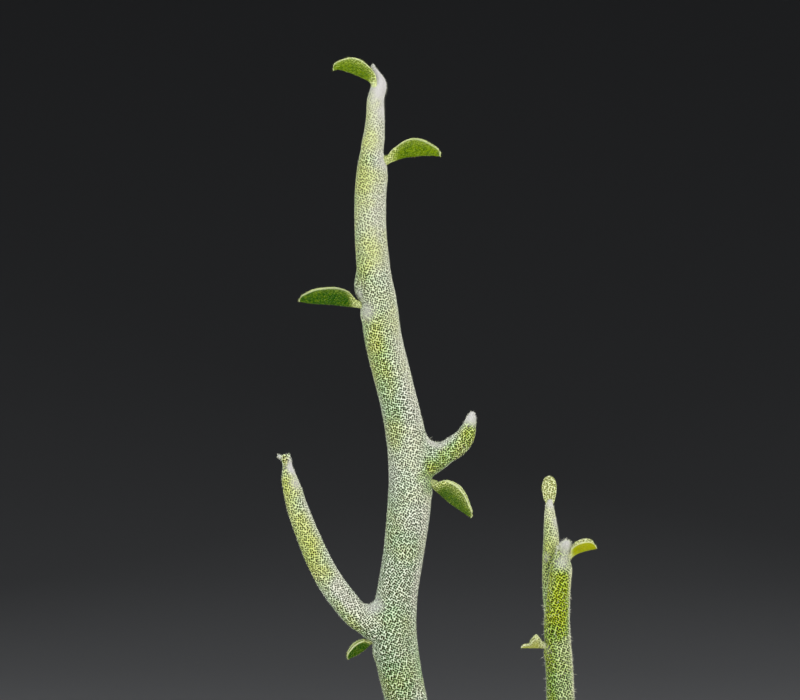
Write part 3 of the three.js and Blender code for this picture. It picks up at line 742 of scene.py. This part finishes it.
# An outline row is the distance along the leaf, the keel's rise and the blade's height above it
leaves = {
    "tip_leaf": {
        "base": (-17.4, -0.2, 240.88), "turn": (186, 0, -6), "fold": 64,
        "specks": 0.1, "sap": 0.1, "atStem": 0.9,
        "outline": [[0, 0, 1.4], [0.5, 1.0, 1.6], [1.3, 1.65, 2.25], [2.6, 2.3, 2.78],
                    [4.0, 2.85, 3.08], [5.6, 3.37, 2.76], [7.15, 3.65, 1.6], [7.95, 3.4, 0.5]],
    },
    "upper_right_leaf": {
        "base": (-14.75, -0.3, 225.95), "turn": (-9, 0, 5), "fold": 62, "sap": 0.15,
        "outline": [[0, 0, 2.05], [1.3, 0.65, 2.0], [2.6, 1.1, 2.4], [4.1, 1.42, 3.15],
                    [5.7, 1.6, 3.62], [7.3, 1.7, 3.28], [9.0, 1.7, 2.38], [10.2, 1.65, 1.6],
                    [10.9, 1.6, 0.95]],
    },
    "middle_left_leaf": {
        "base": (-19.75, -1.3, 197.2), "turn": (190, 0, -2), "fold": 64, "specks": -0.1, "sap": -0.35,
        "outline": [[0, -0.28, 1.3], [1.6, 0, 2.1], [2.7, 0.05, 2.83], [4.1, 0.2, 3.38],
                    [5.8, 0.33, 3.55], [7.7, 0.47, 3.32], [10.3, 0.66, 2.58], [11.9, 0.95, 1.45],
                    [12.5, 1.0, 0.55]],
    },
    "lower_right_leaf": {
        "base": (-5.55, -1.0, 161.48), "turn": (-10, -37, -4), "fold": 60,
        "specks": 0.2, "sap": -0.35, "rim": 0.9,
        "outline": [[0, 0, 1.6], [0.9, -0.05, 2.35], [1.9, -0.1, 3.15], [3.0, -0.2, 3.6],
                    [4.7, -0.3, 3.85], [6.4, -0.24, 3.4], [8.2, -0.16, 2.4], [9.6, -0.05, 1.4],
                    [10.4, 0, 0.6]],
    },
    "low_left_leaf": {
        "base": (-17.75, 0, 130.1), "turn": (184, -34, -2), "fold": 58,
        "specks": -0.2, "sap": -0.5, "rim": 0.95,
        "outline": [[0, 0, 1.3], [1.0, -0.2, 1.75], [2.6, -0.35, 2.2], [4.1, -0.3, 2.05],
                    [5.3, -0.1, 1.4], [6.05, 0, 0.5]],
    },
    "small_stem_top_leaf": {
        "base": (18.49, 8.2, 155.45), "turn": (90, 80, 0), "fold": 22, "flat": True,
        "specks": 0.8, "sap": -0.4,
        "outline": [[0, 0, 0.9], [1.0, -0.5, 0.75], [2.3, -0.8, 0.75], [4.4, -0.9, 0.75],
                    [5.8, -0.8, 0.7], [6.8, -0.6, 0.6], [7.1, -0.5, 0.5]],
        "halfWidths": [0.45, 0.7, 1.13, 1.48, 1.34, 0.87, 0.45],
    },
    "small_stem_right_leaf": {
        "base": (22.15, 2.6, 146.7), "turn": (-6, 21, 6), "fold": 50,
        "specks": -0.5, "innerSpecks": 1.2, "rim": 0.45,
        "outline": [[0, 0, 1.3], [0.9, 0.3, 1.65], [1.9, 0.4, 2.03], [3.0, 0.37, 2.2],
                    [4.1, 0.27, 2.03], [4.95, 0.12, 1.55], [5.5, 0.05, 0.75]],
    },
    "small_stem_side_leaf": {
        "base": (17.2, 3.4, 128.58), "turn": (186, 0, -6), "fold": 62, "specks": 0.4,
        "outline": [[0, 0, 1.3], [0.85, 0, 1.9], [1.7, 0, 2.62], [2.5, 0.05, 1.95],
                    [3.2, 0.05, 0.9], [4.25, 0.1, 0.68], [4.8, 0.15, 0.45]],
    },
}


def foldRise(place):
    rounding = leafForm["keelRounding"]
    return (np.hypot(place, rounding) - rounding) / (math.hypot(1, rounding) - rounding)


# Points of a section, their share of the way to a margin, and whether they are on the inner side
def leafSection(height, halfWidth, opened, isFlat):
    places = np.linspace(-1, 1, leafForm["across"])
    tall = max(height - leafForm["marginLift"], 0.6 * height)
    outer = np.stack([halfWidth * places, tall * foldRise(places)], axis=1)
    lean = unit(np.gradient(outer, axis=0))
    inward = np.stack([-lean[:, 1], lean[:, 0]], axis=1)
    keelWall = min(leafForm["keelWall"], leafForm["keelShare"] * height)
    marginWall = min(leafForm["marginWall"], 0.8 * keelWall)
    wall = keelWall + (marginWall - keelWall) * np.abs(places) ** 1.3
    inner = (outer + wall[:, None] * inward)[::-1]
    if isFlat:
        bulge = height * (1.12 - 0.3 * places * places)
        inner = np.stack([halfWidth * places, bulge], axis=1)[::-1]

    def marginBetween(start, end):
        middle, half = (start + end) / 2, (start - end) / 2
        turned = np.array([-half[1], half[0]])
        angles = np.linspace(0, math.pi, leafForm["marginSteps"] + 2)[1:-1]
        return np.array([middle + half * math.cos(a) + turned * math.sin(a) for a in angles])

    right = marginBetween(outer[-1], inner[0])
    left = marginBetween(inner[-1], outer[0])
    blade = np.vstack([outer, right, inner, left])
    rim = np.ones(len(right))
    toMargin = np.concatenate([np.abs(places), rim, np.abs(places), rim])
    inside = np.concatenate([0 * places, 0.5 * rim, 1 + 0 * places, 0.5 * rim])
    # the same points round the stalk, in the same order
    steps = np.linspace(1, 2, leafForm["marginSteps"] + 2)[1:-1] * math.pi
    turns = np.concatenate([
        math.pi * (1.5 + places / 2 * 0.9), 0.1 * (steps - math.pi) + 1.95 * math.pi,
        math.pi * (2.5 + places / 2 * 0.9), 0.1 * (steps - math.pi) + 2.95 * math.pi,
    ])
    stalk = height / 2 * np.stack([np.cos(turns), 1 + np.sin(turns)], axis=1)
    return stalk + (blade - stalk) * opened, toMargin, inside


def leafMatrix(leaf):
    heading, tilt, roll = (math.radians(angle) for angle in leaf["turn"])
    return (Matrix.Translation(leaf["base"]) @ Matrix.Rotation(heading, 4, "Z")
            @ Matrix.Rotation(-tilt, 4, "Y") @ Matrix.Rotation(roll, 4, "X"))


def leafMesh(name, leaf, seed):
    slope = 1 / math.tan(math.radians(leaf["fold"]))
    widths = leaf.get("halfWidths") or [row[2] * slope for row in leaf["outline"]]
    rows = [[*row, width] for row, width in zip(leaf["outline"], widths)]
    places = np.linspace(0, 1, leafForm["rings"] + 1)
    line = curveAt(rows, places)
    tangents = np.gradient(line[:, :2], axis=0)
    matrix = np.array(leafMatrix(leaf))
    stalkHalf = leaf["outline"][0][2] / 2
    points, faces, tone = [], [], []
    for place, (along, rise, height, half), (dx, dy) in zip(places, line, tangents):
        pitch = math.atan2(dy, dx)
        opened = smooth(0, leafForm["openFrom"], place) * (1 - smooth(leafForm["openTo"], 1, place))
        section, toMargin, inside = leafSection(height, half, float(opened), "flat" in leaf)
        up = section[:, 1]
        ring = np.stack([along - up * math.sin(pitch), section[:, 0],
                         rise - stalkHalf + up * math.cos(pitch), np.ones(len(up))], axis=1)
        points.append((ring @ matrix.T)[:, :3])
        nearEnd = smooth(0.94, 1.0, place)
        nearBase = 1 - smooth(0.02, 0.36, place)
        onMargin = smooth(0.94, 1.0, toMargin) * opened
        atStem = leaf.get("atStem", 0.5) * (1 - smooth(0, 0.28, place))
        pallor = np.maximum(np.maximum(onMargin * leaf.get("rim", 0.6), 0.8 * nearEnd), atStem)
        specks = np.clip(0.9 * nearBase + 0.5 * smooth(0.45, 1.0, toMargin) * (1 - 0.5 * place)
                         + leaf.get("specks", 0) + leaf.get("innerSpecks", 0.3) * inside, 0, 1)
        yellow = np.clip(0.25 + 0.5 * nearBase + 0.25 * place + leaf.get("sap", 0)
                         + 0.25 * inside, 0, 1)
        tone.append(np.stack([pallor, yellow, specks, np.zeros(len(up))], axis=1))
    rootward = points[0].mean(axis=0) - points[1].mean(axis=0)
    middle = points[0].mean(axis=0)
    root = middle + 0.75 * (points[0] - middle) + leafForm["rootReach"] * unit(rootward)
    points.insert(0, root)
    tone.insert(0, tone[0])
    count, keel = len(points[0]), leafForm["across"] // 2
    around = []
    for ring in points:
        steps = np.linalg.norm(np.diff(np.vstack([ring, ring[:1]]), axis=0), axis=1)
        around.append(np.concatenate([[0], np.cumsum(steps)]) - steps[:keel].sum())
    along = np.concatenate([[0], np.cumsum([
        math.dist(ring[keel], after[keel]) for ring, after in zip(points, points[1:])])])
    flat = []
    for i in range(len(points) - 1):
        for j in range(count):
            here, beside = i * count + j, i * count + (j + 1) % count
            faces.append((here, beside, beside + count, here + count))
            flat += [(around[row][column], along[row])
                     for row, column in ((i, j), (i, j + 1), (i + 1, j + 1), (i + 1, j))]
    points, tone = np.vstack(points), np.vstack(tone)
    last = len(points) - count
    points = np.vstack([points, points[:count].mean(axis=0), points[last:].mean(axis=0)])
    tone = np.vstack([tone, tone[:1], tone[-1:]])
    for j in range(count):
        faces.append((len(points) - 2, (j + 1) % count, j))
        faces.append((len(points) - 1, last + j, last + (j + 1) % count))
        flat += [(0, along[0])] * 3 + [(0, along[-1])] * 3
    mesh = meshOf(name, points, faces)
    addMap(mesh, flat)
    bumpy = 0.03 * noiseAt(points, 1.3, seed) + 0.07 * noiseAt(points, 4.0, seed + 1)
    movePoints(mesh, points + bumpy[:, None] * normalsOf(mesh))
    return mesh, tone


leafSkin = dict(
    velvet,
    fixed={
        "Specular IOR Level": 0.04,
        "Subsurface Weight": 0.06,
        "Subsurface Radius": (0.6, 0.9, 0.02),
        "Subsurface Scale": 0.0006,
    },
    patchSize=0.4,
    patchShare=0.5,
    coolFlesh=paint(28, 74, 0),
    yellowFlesh=paint(122, 148, 0),
    warmShare=0.0,
    bloom=paint(176, 190, 86),
    bloomRange=(0, 1),
    bloomShares=(0.0, 0.7),
    sapShows=0.0,
    sapInTufts=0.0,
    feltShare=0.0,
    rowReach=0.4,
    poreSize=0.38,
    poreRandom=0.5,
    poreFade=(0.0, 1.0),
    poreReach=(0.2, 0.45),
    poreShrink=0.0,
    poreStrength=(0.4, 0.95),
    poreDepth=0.75,
    tuft=paint(218, 226, 158),
    tuftReach=(0.42, 0.58),
    tuftRange=(0.2, 0.9),
    tuftStrength=(0.04, 0.95),
    wool=paint(212, 220, 172),
    woolShare=0.8,
    bump=0.06,
    rough=(0.55, 0.6),
)

paleLeafSkin = dict(
    leafSkin,
    coolFlesh=paint(140, 152, 0),
    yellowFlesh=paint(172, 176, 0),
    bloom=paint(206, 212, 152),
    bloomShares=(0.0, 0.95),
    tuft=paint(230, 234, 198),
    tuftStrength=(0.0, 0.4),
    poreSize=0.42,
    poreReach=(0.34, 0.44),
    poreStrength=(0.05, 0.9),
    wool=paint(226, 228, 204),
)

leafVelvet = velvetMaterial("leaf_green", leafSkin)
paleLeafVelvet = velvetMaterial("leaf_pale_green", paleLeafSkin)
leafMeshes = {}
for order, (nodeName, leafData) in enumerate(leaves.items()):
    madeMesh, madeTone = leafMesh(nodeName + "_blade", leafData, 20 + order)
    leafMeshes[nodeName] = (madeMesh, madeTone)
    isPale = nodeName.startswith("small_stem")
    addPiece(nodeName + "_blade", madeMesh, paleLeafVelvet if isPale else leafVelvet,
             [nodeName], madeTone)
print("leaves ready:", sum(len(made.polygons) for made, _ in leafMeshes.values()))


# Hairs: fine closed spikes, short all over and longer at the tips

hair = {
    "mainCount": 40000,
    "smallCount": 24000,
    "leafCount": 1400,
    "length": (0.14, 0.32),
    "woolLength": 0.7,  # how much longer they get where the skin is woolly white
    "thickness": 0.012,
    "lean": 0.75,
    "sunk": 0.03,
    "leastHeight": 66,
    "stemColor": paint(232, 234, 222),
    "leafColor": paint(190, 206, 90),
    # place, aim, spread, count, length: curled wool on the buds and in the crotches
    "tufts": {
        "main_stem": [
            ((-17.3, 0.5, 244.6), (-0.3, 0, 1), 0.35, 20, 0.3),
            ((2.3, 1.3, 175.0), (0.2, -0.2, 1), 0.5, 40, 0.35),
            ((-34.4, -4.4, 166.4), (0, -0.3, 1), 0.4, 40, 0.35),
            ((-36.2, -4.4, 166.9), (-1, 0, 0.4), 0.25, 30, 0.3),
            ((-4.6, -0.6, 170.4), (0.1, -0.2, 1), 1.2, 12, 0.6),
            ((-16.9, -0.6, 136.6), (0, -0.3, 1), 1.0, 12, 0.45),
        ],
        "small_stem": [
            ((21.2, 2.4, 148.8), (0, -0.2, 1), 0.9, 260, 0.55),
            ((21.0, 1.6, 147.6), (-0.2, -1, 0.2), 0.9, 160, 0.45),
            ((18.5, 6.6, 156.6), (0, -0.6, 0.8), 0.5, 40, 0.35),
        ],
    },
    # count, length, lowest and highest place: single longer hairs
    "stray": {"main_stem": (40, 0.35, 90, 240), "small_stem": (420, 0.55, 100, 140)},
    "strayThickness": 0.04,
}


def hairMaterial(name, color):
    material, tree, shader, place = newMaterial(name, **{
        "Roughness": 0.6, "Specular IOR Level": 0.2,
    })
    tinge = ramp(tree, lumps(tree, place, 3), 0.3, 0.7, 0, 0.4)
    color = mixed(tree, tinge, color, paint(206, 214, 170))
    tree.links.new(color, shader.inputs["Base Color"])
    return material


def scatterOn(mesh, tone, count, weights, rng):  # random places, normals and tones on a skin
    mesh.calc_loop_triangles()
    corners = np.empty(3 * len(mesh.loop_triangles), np.int32)
    mesh.loop_triangles.foreach_get("vertices", corners)
    corners = corners.reshape(-1, 3)
    points, normals = pointsOf(mesh), normalsOf(mesh)
    a, b, c = (points[corners[:, k]] for k in range(3))
    area = np.linalg.norm(np.cross(b - a, c - a), axis=1) * weights[corners].mean(axis=1)
    chosen = rng.choice(len(corners), count, p=area / area.sum())
    u, v = rng.random(count), rng.random(count)
    over = u + v > 1
    u[over], v[over] = 1 - u[over], 1 - v[over]
    shares = np.stack([1 - u - v, u, v], axis=1)[:, :, None]
    picked = corners[chosen]
    return ((points[picked] * shares).sum(axis=1), unit((normals[picked] * shares).sum(axis=1)),
            (tone[picked] * shares).sum(axis=1))


def spikes(roots, directions, lengths, thickness, rng):  # closed three-sided spikes
    count = len(roots)
    side = unit(np.cross(directions, rng.normal(size=(count, 3))))
    aside = np.cross(directions, side)
    points = np.empty((count, 4, 3))
    for k in range(3):
        turn = 2 * math.pi * k / 3
        points[:, k] = roots + thickness * (side * math.cos(turn) + aside * math.sin(turn))
    points[:, 3] = roots + directions * lengths[:, None]
    faces = np.array([[0, 2, 1], [0, 1, 3], [1, 2, 3], [2, 0, 3]])
    return points.reshape(-1, 3), (4 * np.arange(count)[:, None, None] + faces).reshape(-1, 3)


def addHairs(name, mesh, tone, count, material, seed):
    rng = np.random.default_rng(seed)
    points = pointsOf(mesh)
    weights = (0.6 + 0.9 * tone[:, 0]) * (points[:, 2] > hair["leastHeight"])
    roots, normals, tones = scatterOn(mesh, tone, count, weights, rng)
    directions = unit(normals + hair["lean"] * rng.normal(size=(count, 3)) * 0.6)
    inward = np.sum(directions * normals, axis=1) < 0.15
    directions[inward] = normals[inward]
    low, high = hair["length"]
    lengths = (low + (high - low) * rng.random(count)) * (1 + hair["woolLength"] * tones[:, 0])
    made = spikes(roots - normals * hair["sunk"], directions, lengths, hair["thickness"], rng)
    addPiece(name, meshOf(name, *made), material, shadeSmooth=False)


def curls(roots, directions, lengths, rng):  # closed curved hairs
    points, faces = [], []
    for root, direction, length in zip(roots, directions, lengths):
        side = unit(np.cross(direction, rng.normal(size=3)))
        bend = length * (0.15 + 0.45 * rng.random())
        line = [[*(root + direction * length * t + side * bend * t * t),
                 hair["strayThickness"] * (1 - 0.7 * t)] for t in (0, 0.3, 0.6, 0.85, 1)]
        tubePoints, tubeFaces = tube(np.array(line), 3)
        faces += [[i + len(points) for i in face] for face in tubeFaces]
        points += tubePoints
    return points, faces


def addWool(stemName, mesh, tone, seed):
    rng = np.random.default_rng(seed)
    count, length, lowest, highest = hair["stray"][stemName]
    heights = pointsOf(mesh)[:, 2]
    weights = 1.0 * ((heights > lowest) & (heights < highest))
    roots, normals, _ = scatterOn(mesh, tone, count, weights, rng)
    directions = unit(normals + 0.5 * rng.normal(size=(count, 3)))
    sizes = length * (0.5 + rng.random(count))
    for place, aim, spread, many, reach in hair["tufts"][stemName]:
        near = np.linalg.norm(pointsOf(mesh) - place, axis=1)
        nearRoots, nearNormals, _ = scatterOn(mesh, tone, many, 1.0 * (near < 1.6 * spread + 0.5), rng)
        away = unit(nearNormals + 0.6 * np.array(aim) + 0.45 * rng.normal(size=(many, 3)))
        roots, directions = np.vstack([roots, nearRoots]), np.vstack([directions, away])
        sizes = np.concatenate([sizes, reach * (0.5 + 0.8 * rng.random(many))])
    name = stemName + "_wool"
    addPiece(name, meshOf(name, *curls(roots, directions, sizes, rng)), wool)


wool = hairMaterial("hair_wool", hair["stemColor"])
leafDown = hairMaterial("leaf_down", hair["leafColor"])
addWool("main_stem", mainMesh, mainTone, 13)
addWool("small_stem", smallMesh, smallTone, 14)
addHairs("main_stem_hairs", mainMesh, mainTone, hair["mainCount"], wool, 11)
addHairs("small_stem_hairs", smallMesh, smallTone, hair["smallCount"], wool, 12)
for order, (nodeName, (madeMesh, madeTone)) in enumerate(leafMeshes.items()):
    isPale = nodeName.startswith("small_stem")
    addHairs(nodeName + "_hairs", madeMesh, madeTone, hair["leafCount"], leafDown,
             30 + order)
print("hairs ready")


# The pot

pot = {
    "height": 84, "rimRadius": 48, "rimHeight": 20, "rimTaper": 0.8, "bodyTopRadius": 42.5,
    "baseRadius": 31, "wall": 4.5, "floor": 6, "drainRadius": 5, "rounding": 1.8,
    "sides": 180,
    "step": 1.6,
    "ridges": (2.3, 0.09),  # spacing and depth of the turning marks
    "wobble": 0.22,
    "clay": paint(182, 108, 74),
    "darkClay": paint(164, 92, 60),
    "lime": paint(204, 176, 152),
}


def potInside(height):
    share = (height - pot["floor"]) / (pot["height"] - pot["floor"])
    return (1 - share) * (pot["baseRadius"] - pot["wall"]) + share * pot["bodyTopRadius"]


def roundedOutline(corners, step):  # a closed outline of (radius, height, rounding), in short steps
    flat = []
    for i, (radius, height, rounding) in enumerate(corners):
        here = np.array([radius, height], float)
        if not rounding:
            flat.append(here)
            continue
        ends = [np.array(corners[(i + way) % len(corners)][:2], float) for way in (-1, 1)]
        before, after = (here + rounding * unit(end - here) for end in ends)
        for t in np.linspace(0, 1, 7):
            flat.append((1 - t) ** 2 * before + 2 * t * (1 - t) * here + t * t * after)
    outline = []
    for start, end in zip(flat, flat[1:] + flat[:1]):
        steps = max(1, math.ceil(np.linalg.norm(end - start) / step))
        outline += [start + (end - start) * k / steps for k in range(steps)]
    return outline


def closedTurned(outline, sides):
    angles = 2 * math.pi * np.arange(sides) / sides
    points = np.array([(r * math.cos(a), r * math.sin(a), z) for r, z in outline for a in angles])
    faces = []
    for i in range(len(outline)):
        after = (i + 1) % len(outline)
        for j in range(sides):
            beside = (j + 1) % sides
            faces.append((i * sides + j, i * sides + beside, after * sides + beside, after * sides + j))
    return points, faces


def potMaterial():
    material, tree, shader, place = newMaterial("pot_clay", **{"Specular IOR Level": 0.2})
    apart = addNode(tree, "ShaderNodeSeparateXYZ", {0: place})
    height = apart.outputs[2]
    mottled = ramp(tree, lumps(tree, place, 9, 5), 0.35, 0.68)
    color = mixed(tree, mottled, pot["clay"], pot["darkClay"])
    away, number = speckles(tree, place, 1.1)
    grog = maths(tree, "MULTIPLY", ramp(tree, away, 0.1, 0.3, 1, 0), ramp(tree, number, 0.7, 0.95))
    color = mixed(tree, maths(tree, "MULTIPLY", grog, 0.5), color, paint(222, 168, 128))
    crust = ramp(tree, lumps(tree, place, 14, 6), 0.46, 0.66)
    low = ramp(tree, height, 0.002, 0.030, 0.50, 0.04)
    rim = ramp(tree, height, 0.066, 0.083, 0.0, 0.30)
    limed = maths(tree, "MULTIPLY", crust, maths(tree, "ADD", low, rim))
    color = mixed(tree, limed, color, pot["lime"])
    tree.links.new(color, shader.inputs["Base Color"])
    tree.links.new(ramp(tree, crust, 0, 1, 0.82, 0.95), shader.inputs["Roughness"])
    grain = maths(tree, "ADD", lumps(tree, place, 0.5, 4), maths(tree, "MULTIPLY", grog, 0.4))
    bump = addNode(tree, "ShaderNodeBump", {"Height": grain, "Distance": 0.25 * mm, "Strength": 0.7})
    tree.links.new(bump.outputs["Normal"], shader.inputs["Normal"])
    return material


def addPot():
    bandFoot = pot["height"] - pot["rimHeight"]
    corners = [
        (pot["drainRadius"], 0, 0.6),
        (pot["baseRadius"], 0, pot["rounding"]),
        (pot["bodyTopRadius"], bandFoot, 0),
        (pot["rimRadius"] - pot["rimTaper"], bandFoot, pot["rounding"]),
        (pot["rimRadius"], pot["height"], pot["rounding"]),
        (potInside(pot["height"]), pot["height"], pot["rounding"]),
        (potInside(pot["floor"]), pot["floor"], pot["rounding"]),
        (pot["drainRadius"], pot["floor"], 0.6),
    ]
    points, faces = closedTurned(roundedOutline(corners, pot["step"]), pot["sides"])
    reach = np.linalg.norm(points[:, :2], axis=1)
    spacing, depth = pot["ridges"]
    marks = depth * np.sin(2 * math.pi * points[:, 2] / spacing + 0.6 * noiseAt(points, 30, 1))
    swell = pot["wobble"] * noiseAt(points, 34, 2) + 0.08 * noiseAt(points, 5, 3)
    free = smooth(1.5, 4, points[:, 2]) * smooth(20, 30, reach)
    scale = 1 + (marks + swell) * free / reach
    points[:, :2] *= scale[:, None]
    mesh = meshOf("pot_body", points, faces)
    addPiece("pot_body", mesh, potMaterial(), ["pot"])


addPot()
print("pot ready")


# Soil and grit

soil = {
    "level": 72, "crown": 1.2, "relief": 0.5, "clearance": 0.3,
    "sides": 200, "rings": 56,
    "crumbs": [(6.0, 0.35), (1.8, 0.35), (0.8, 0.18)],
    "gritCount": 64, "gritRadius": (1.7, 3.3), "gritWidth": (0.7, 1.0),
    "gritThickness": (0.6, 0.8), "gritTilt": (0, 0.6), "gritSunk": 0.15, "gritSeed": 7,
    "smallCount": 2100, "smallRadius": (0.45, 1.5),
    # colour and share of each sort of grain
    "sorts": [
        (paint(186, 172, 150), 0.28), (paint(150, 128, 104), 0.20), (paint(122, 70, 50), 0.16),
        (paint(98, 92, 86), 0.14), (paint(206, 200, 190), 0.10), (paint(70, 52, 38), 0.12),
    ],
}


def soilHeight(x, y):
    share = np.hypot(x, y) / potInside(soil["level"])
    waves = np.sin(0.31 * x + 1) * np.cos(0.27 * y) + 0.7 * np.sin(0.5 * x - 0.4 * y)
    return soil["level"] + soil["crown"] * (1 - share * share) + soil["relief"] * waves


def soilMaterial():
    material, tree, shader, place = newMaterial("soil_peat", **{"Specular IOR Level": 0.15})
    crumb = lumps(tree, place, 1.2, 6)
    color = mixed(tree, ramp(tree, crumb, 0.3, 0.7), paint(44, 32, 24), paint(104, 80, 58))
    away, number = speckles(tree, place, 0.9)
    chip = maths(tree, "MULTIPLY", ramp(tree, away, 0.2, 0.35, 1, 0), ramp(tree, number, 0.6, 0.7))
    color = mixed(tree, maths(tree, "MULTIPLY", chip, 0.7), color, paint(150, 132, 108))
    tree.links.new(color, shader.inputs["Base Color"])
    tree.links.new(ramp(tree, crumb, 0, 1, 0.98, 0.85), shader.inputs["Roughness"])
    bump = addNode(tree, "ShaderNodeBump", {"Height": crumb, "Distance": 0.6 * mm, "Strength": 0.9})
    tree.links.new(bump.outputs["Normal"], shader.inputs["Normal"])
    return material


def gritMaterial():
    material, tree, shader, place = newMaterial("grit_stone", **{"Specular IOR Level": 0.3})
    tone = addNode(tree, "ShaderNodeAttribute", attribute_name="tone")
    pores = lumps(tree, place, 0.5, 5)
    color = mixed(tree, ramp(tree, pores, 0.25, 0.75, 0.75, 0.0), tone.outputs["Color"],
                  mixed(tree, 0.55, tone.outputs["Color"], paint(40, 32, 26)))
    dust = ramp(tree, lumps(tree, place, 2.4, 3), 0.45, 0.7, 0, 0.35)
    color = mixed(tree, dust, color, paint(176, 160, 136))
    tree.links.new(color, shader.inputs["Base Color"])
    tree.links.new(ramp(tree, pores, 0, 1, 0.92, 0.7), shader.inputs["Roughness"])
    bump = addNode(tree, "ShaderNodeBump", {"Height": pores, "Distance": 0.18 * mm, "Strength": 0.8})
    tree.links.new(bump.outputs["Normal"], shader.inputs["Normal"])
    return material


def ballPoints(rings):  # an even ball of points and faces, from a split octahedron
    points = [Vector(p) for p in ((1, 0, 0), (-1, 0, 0), (0, 1, 0), (0, -1, 0), (0, 0, 1), (0, 0, -1))]
    faces = [(0, 2, 4), (2, 1, 4), (1, 3, 4), (3, 0, 4), (2, 0, 5), (1, 2, 5), (3, 1, 5), (0, 3, 5)]
    for _ in range(rings):
        middles, finer = {}, []
        for face in faces:
            mids = []
            for k in range(3):
                pair = tuple(sorted((face[k], face[(k + 1) % 3])))
                if pair not in middles:
                    points.append(((points[pair[0]] + points[pair[1]]) / 2).normalized())
                    middles[pair] = len(points) - 1
                mids.append(middles[pair])
            a, b, c = face
            ab, bc, ca = mids
            finer += [(a, ab, ca), (ab, b, bc), (ca, bc, c), (ab, bc, ca)]
        faces = finer
    return np.array([tuple(p) for p in points]), np.array(faces)


def stoneShapes(rings, count, rng):  # broken stones: balls cut flat on a few random sides
    ball, faces = ballPoints(rings)
    shapes = []
    for _ in range(count):
        sides = unit(rng.normal(size=(9, 3)))
        depths = 0.62 + 0.34 * rng.random(9)
        reach = np.min(np.where(ball @ sides.T > 1e-3, depths / np.maximum(ball @ sides.T, 1e-3), 9),
                       axis=1)
        shapes.append(ball * np.minimum(reach, 1.0)[:, None])
    return shapes, faces


def packedDraws(seed):  # the same draws as the solids' grains
    state = seed
    while True:
        state = (state * 16807) % 2147483647
        yield state / 2147483647


def bigGrains():  # place, size, width, thickness, tilt and turn of each grain in the solid soil
    draws = packedDraws(soil["gritSeed"])

    def between(limits):
        return limits[0] + (limits[1] - limits[0]) * next(draws)

    stems = [next(row for row in stem["lines"][0] if row[2] == soil["level"])
             for stem in (mainStem, smallStem)]
    found = []
    while len(found) < soil["gritCount"]:
        size = between(soil["gritRadius"])
        edge = potInside(soil["level"]) - size - 2 * soil["clearance"]
        reach = edge * math.sqrt(next(draws))
        turn = 2 * math.pi * next(draws)
        x, y = reach * math.cos(turn), reach * math.sin(turn)
        width, thickness = between(soil["gritWidth"]), between(soil["gritThickness"])
        tilt, heading = between(soil["gritTilt"]), 2 * math.pi * next(draws)
        if all(math.hypot(x - row[0], y - row[1]) > row[3] + size + 2 * soil["clearance"]
               for row in stems):
            found.append((x, y, size, width, thickness, tilt, heading))
    return found


def addSoil():
    edge = potInside(soil["level"]) - soil["clearance"]
    foot = pot["floor"] + soil["clearance"]
    outline = [(0.01, foot), (potInside(foot) - soil["clearance"] - 1, foot)]
    outline += [(potInside(z) - soil["clearance"], z) for z in np.linspace(foot + 1, soil["level"], 20)]
    outline += [(edge * (1 - k / soil["rings"]), soil["level"]) for k in range(1, soil["rings"])]
    outline.append((0.01, soil["level"]))
    points, faces = closedTurned(outline, soil["sides"])
    onTop = points[:, 2] > soil["level"] - 0.01
    top = points[onTop]
    crumbs = sum(height * noiseAt(top, size, 6) for size, height in soil["crumbs"])
    points[onTop, 2] = soilHeight(top[:, 0], top[:, 1]) + crumbs - 0.3
    addPiece("soil_bed", meshOf("soil_bed", points, faces), soilMaterial(), ["soil"])

    rng = np.random.default_rng(5)
    coarse, coarseFaces = stoneShapes(3, 12, rng)
    fine, fineFaces = stoneShapes(1, 24, rng)
    points, faces, tone, total = [], [], [], 0

    def addStone(shape, shapeFaces, place, sizes, tilt, heading):
        nonlocal total
        turned = np.array(Matrix.Rotation(heading, 3, "Z") @ Matrix.Rotation(tilt, 3, "X"))
        points.append((shape * sizes) @ turned.T + place)
        faces.append(shapeFaces + total)
        total += len(shape)
        sort = rng.choice(len(soil["sorts"]), p=[share for _, share in soil["sorts"]])
        color = np.array(soil["sorts"][sort][0]) * (0.75 + 0.5 * rng.random())
        color[:3] *= 1 + 0.08 * rng.normal(size=3)
        tone.append(np.tile(np.clip([*color[:3], 1], 0, 1), (len(shape), 1)))

    for x, y, size, width, thickness, tilt, heading in bigGrains():
        place = (x, y, float(soilHeight(x, y)) - soil["gritSunk"] * size)
        shape = coarse[rng.integers(len(coarse))] * 1.06
        addStone(shape, coarseFaces, place, np.array([size, size * width, size * thickness]),
                 tilt, heading)
    stems = [(-7.0, 1.9, 4.9), (20.5, 5.7, 3.05)]
    for _ in range(soil["smallCount"]):
        low, high = soil["smallRadius"]
        size = low + (high - low) * rng.random() ** 2.2
        reach, turn = (edge - size) * math.sqrt(rng.random()), 2 * math.pi * rng.random()
        x, y = reach * math.cos(turn), reach * math.sin(turn)
        isClear = all(math.hypot(x - a, y - b) > r + 0.6 * size for a, b, r in stems)
        height = float(soilHeight(x, y)) + size * (0.1 + 0.25 * rng.random())
        sizes = size * np.array([1.0, 0.7 + 0.3 * rng.random(), 0.55 + 0.35 * rng.random()])
        heading, tilt = 2 * math.pi * rng.random(), 1.2 * rng.random()
        shape = fine[rng.integers(len(fine))]
        if isClear:
            addStone(shape, fineFaces, (x, y, height), sizes, tilt, heading)
    mesh = meshOf("soil_grit", np.vstack(points), np.vstack(faces))
    addPiece("soil_grit", mesh, gritMaterial(), tone=np.vstack(tone),
             shadeSmooth=False)


addSoil()
print("soil ready")
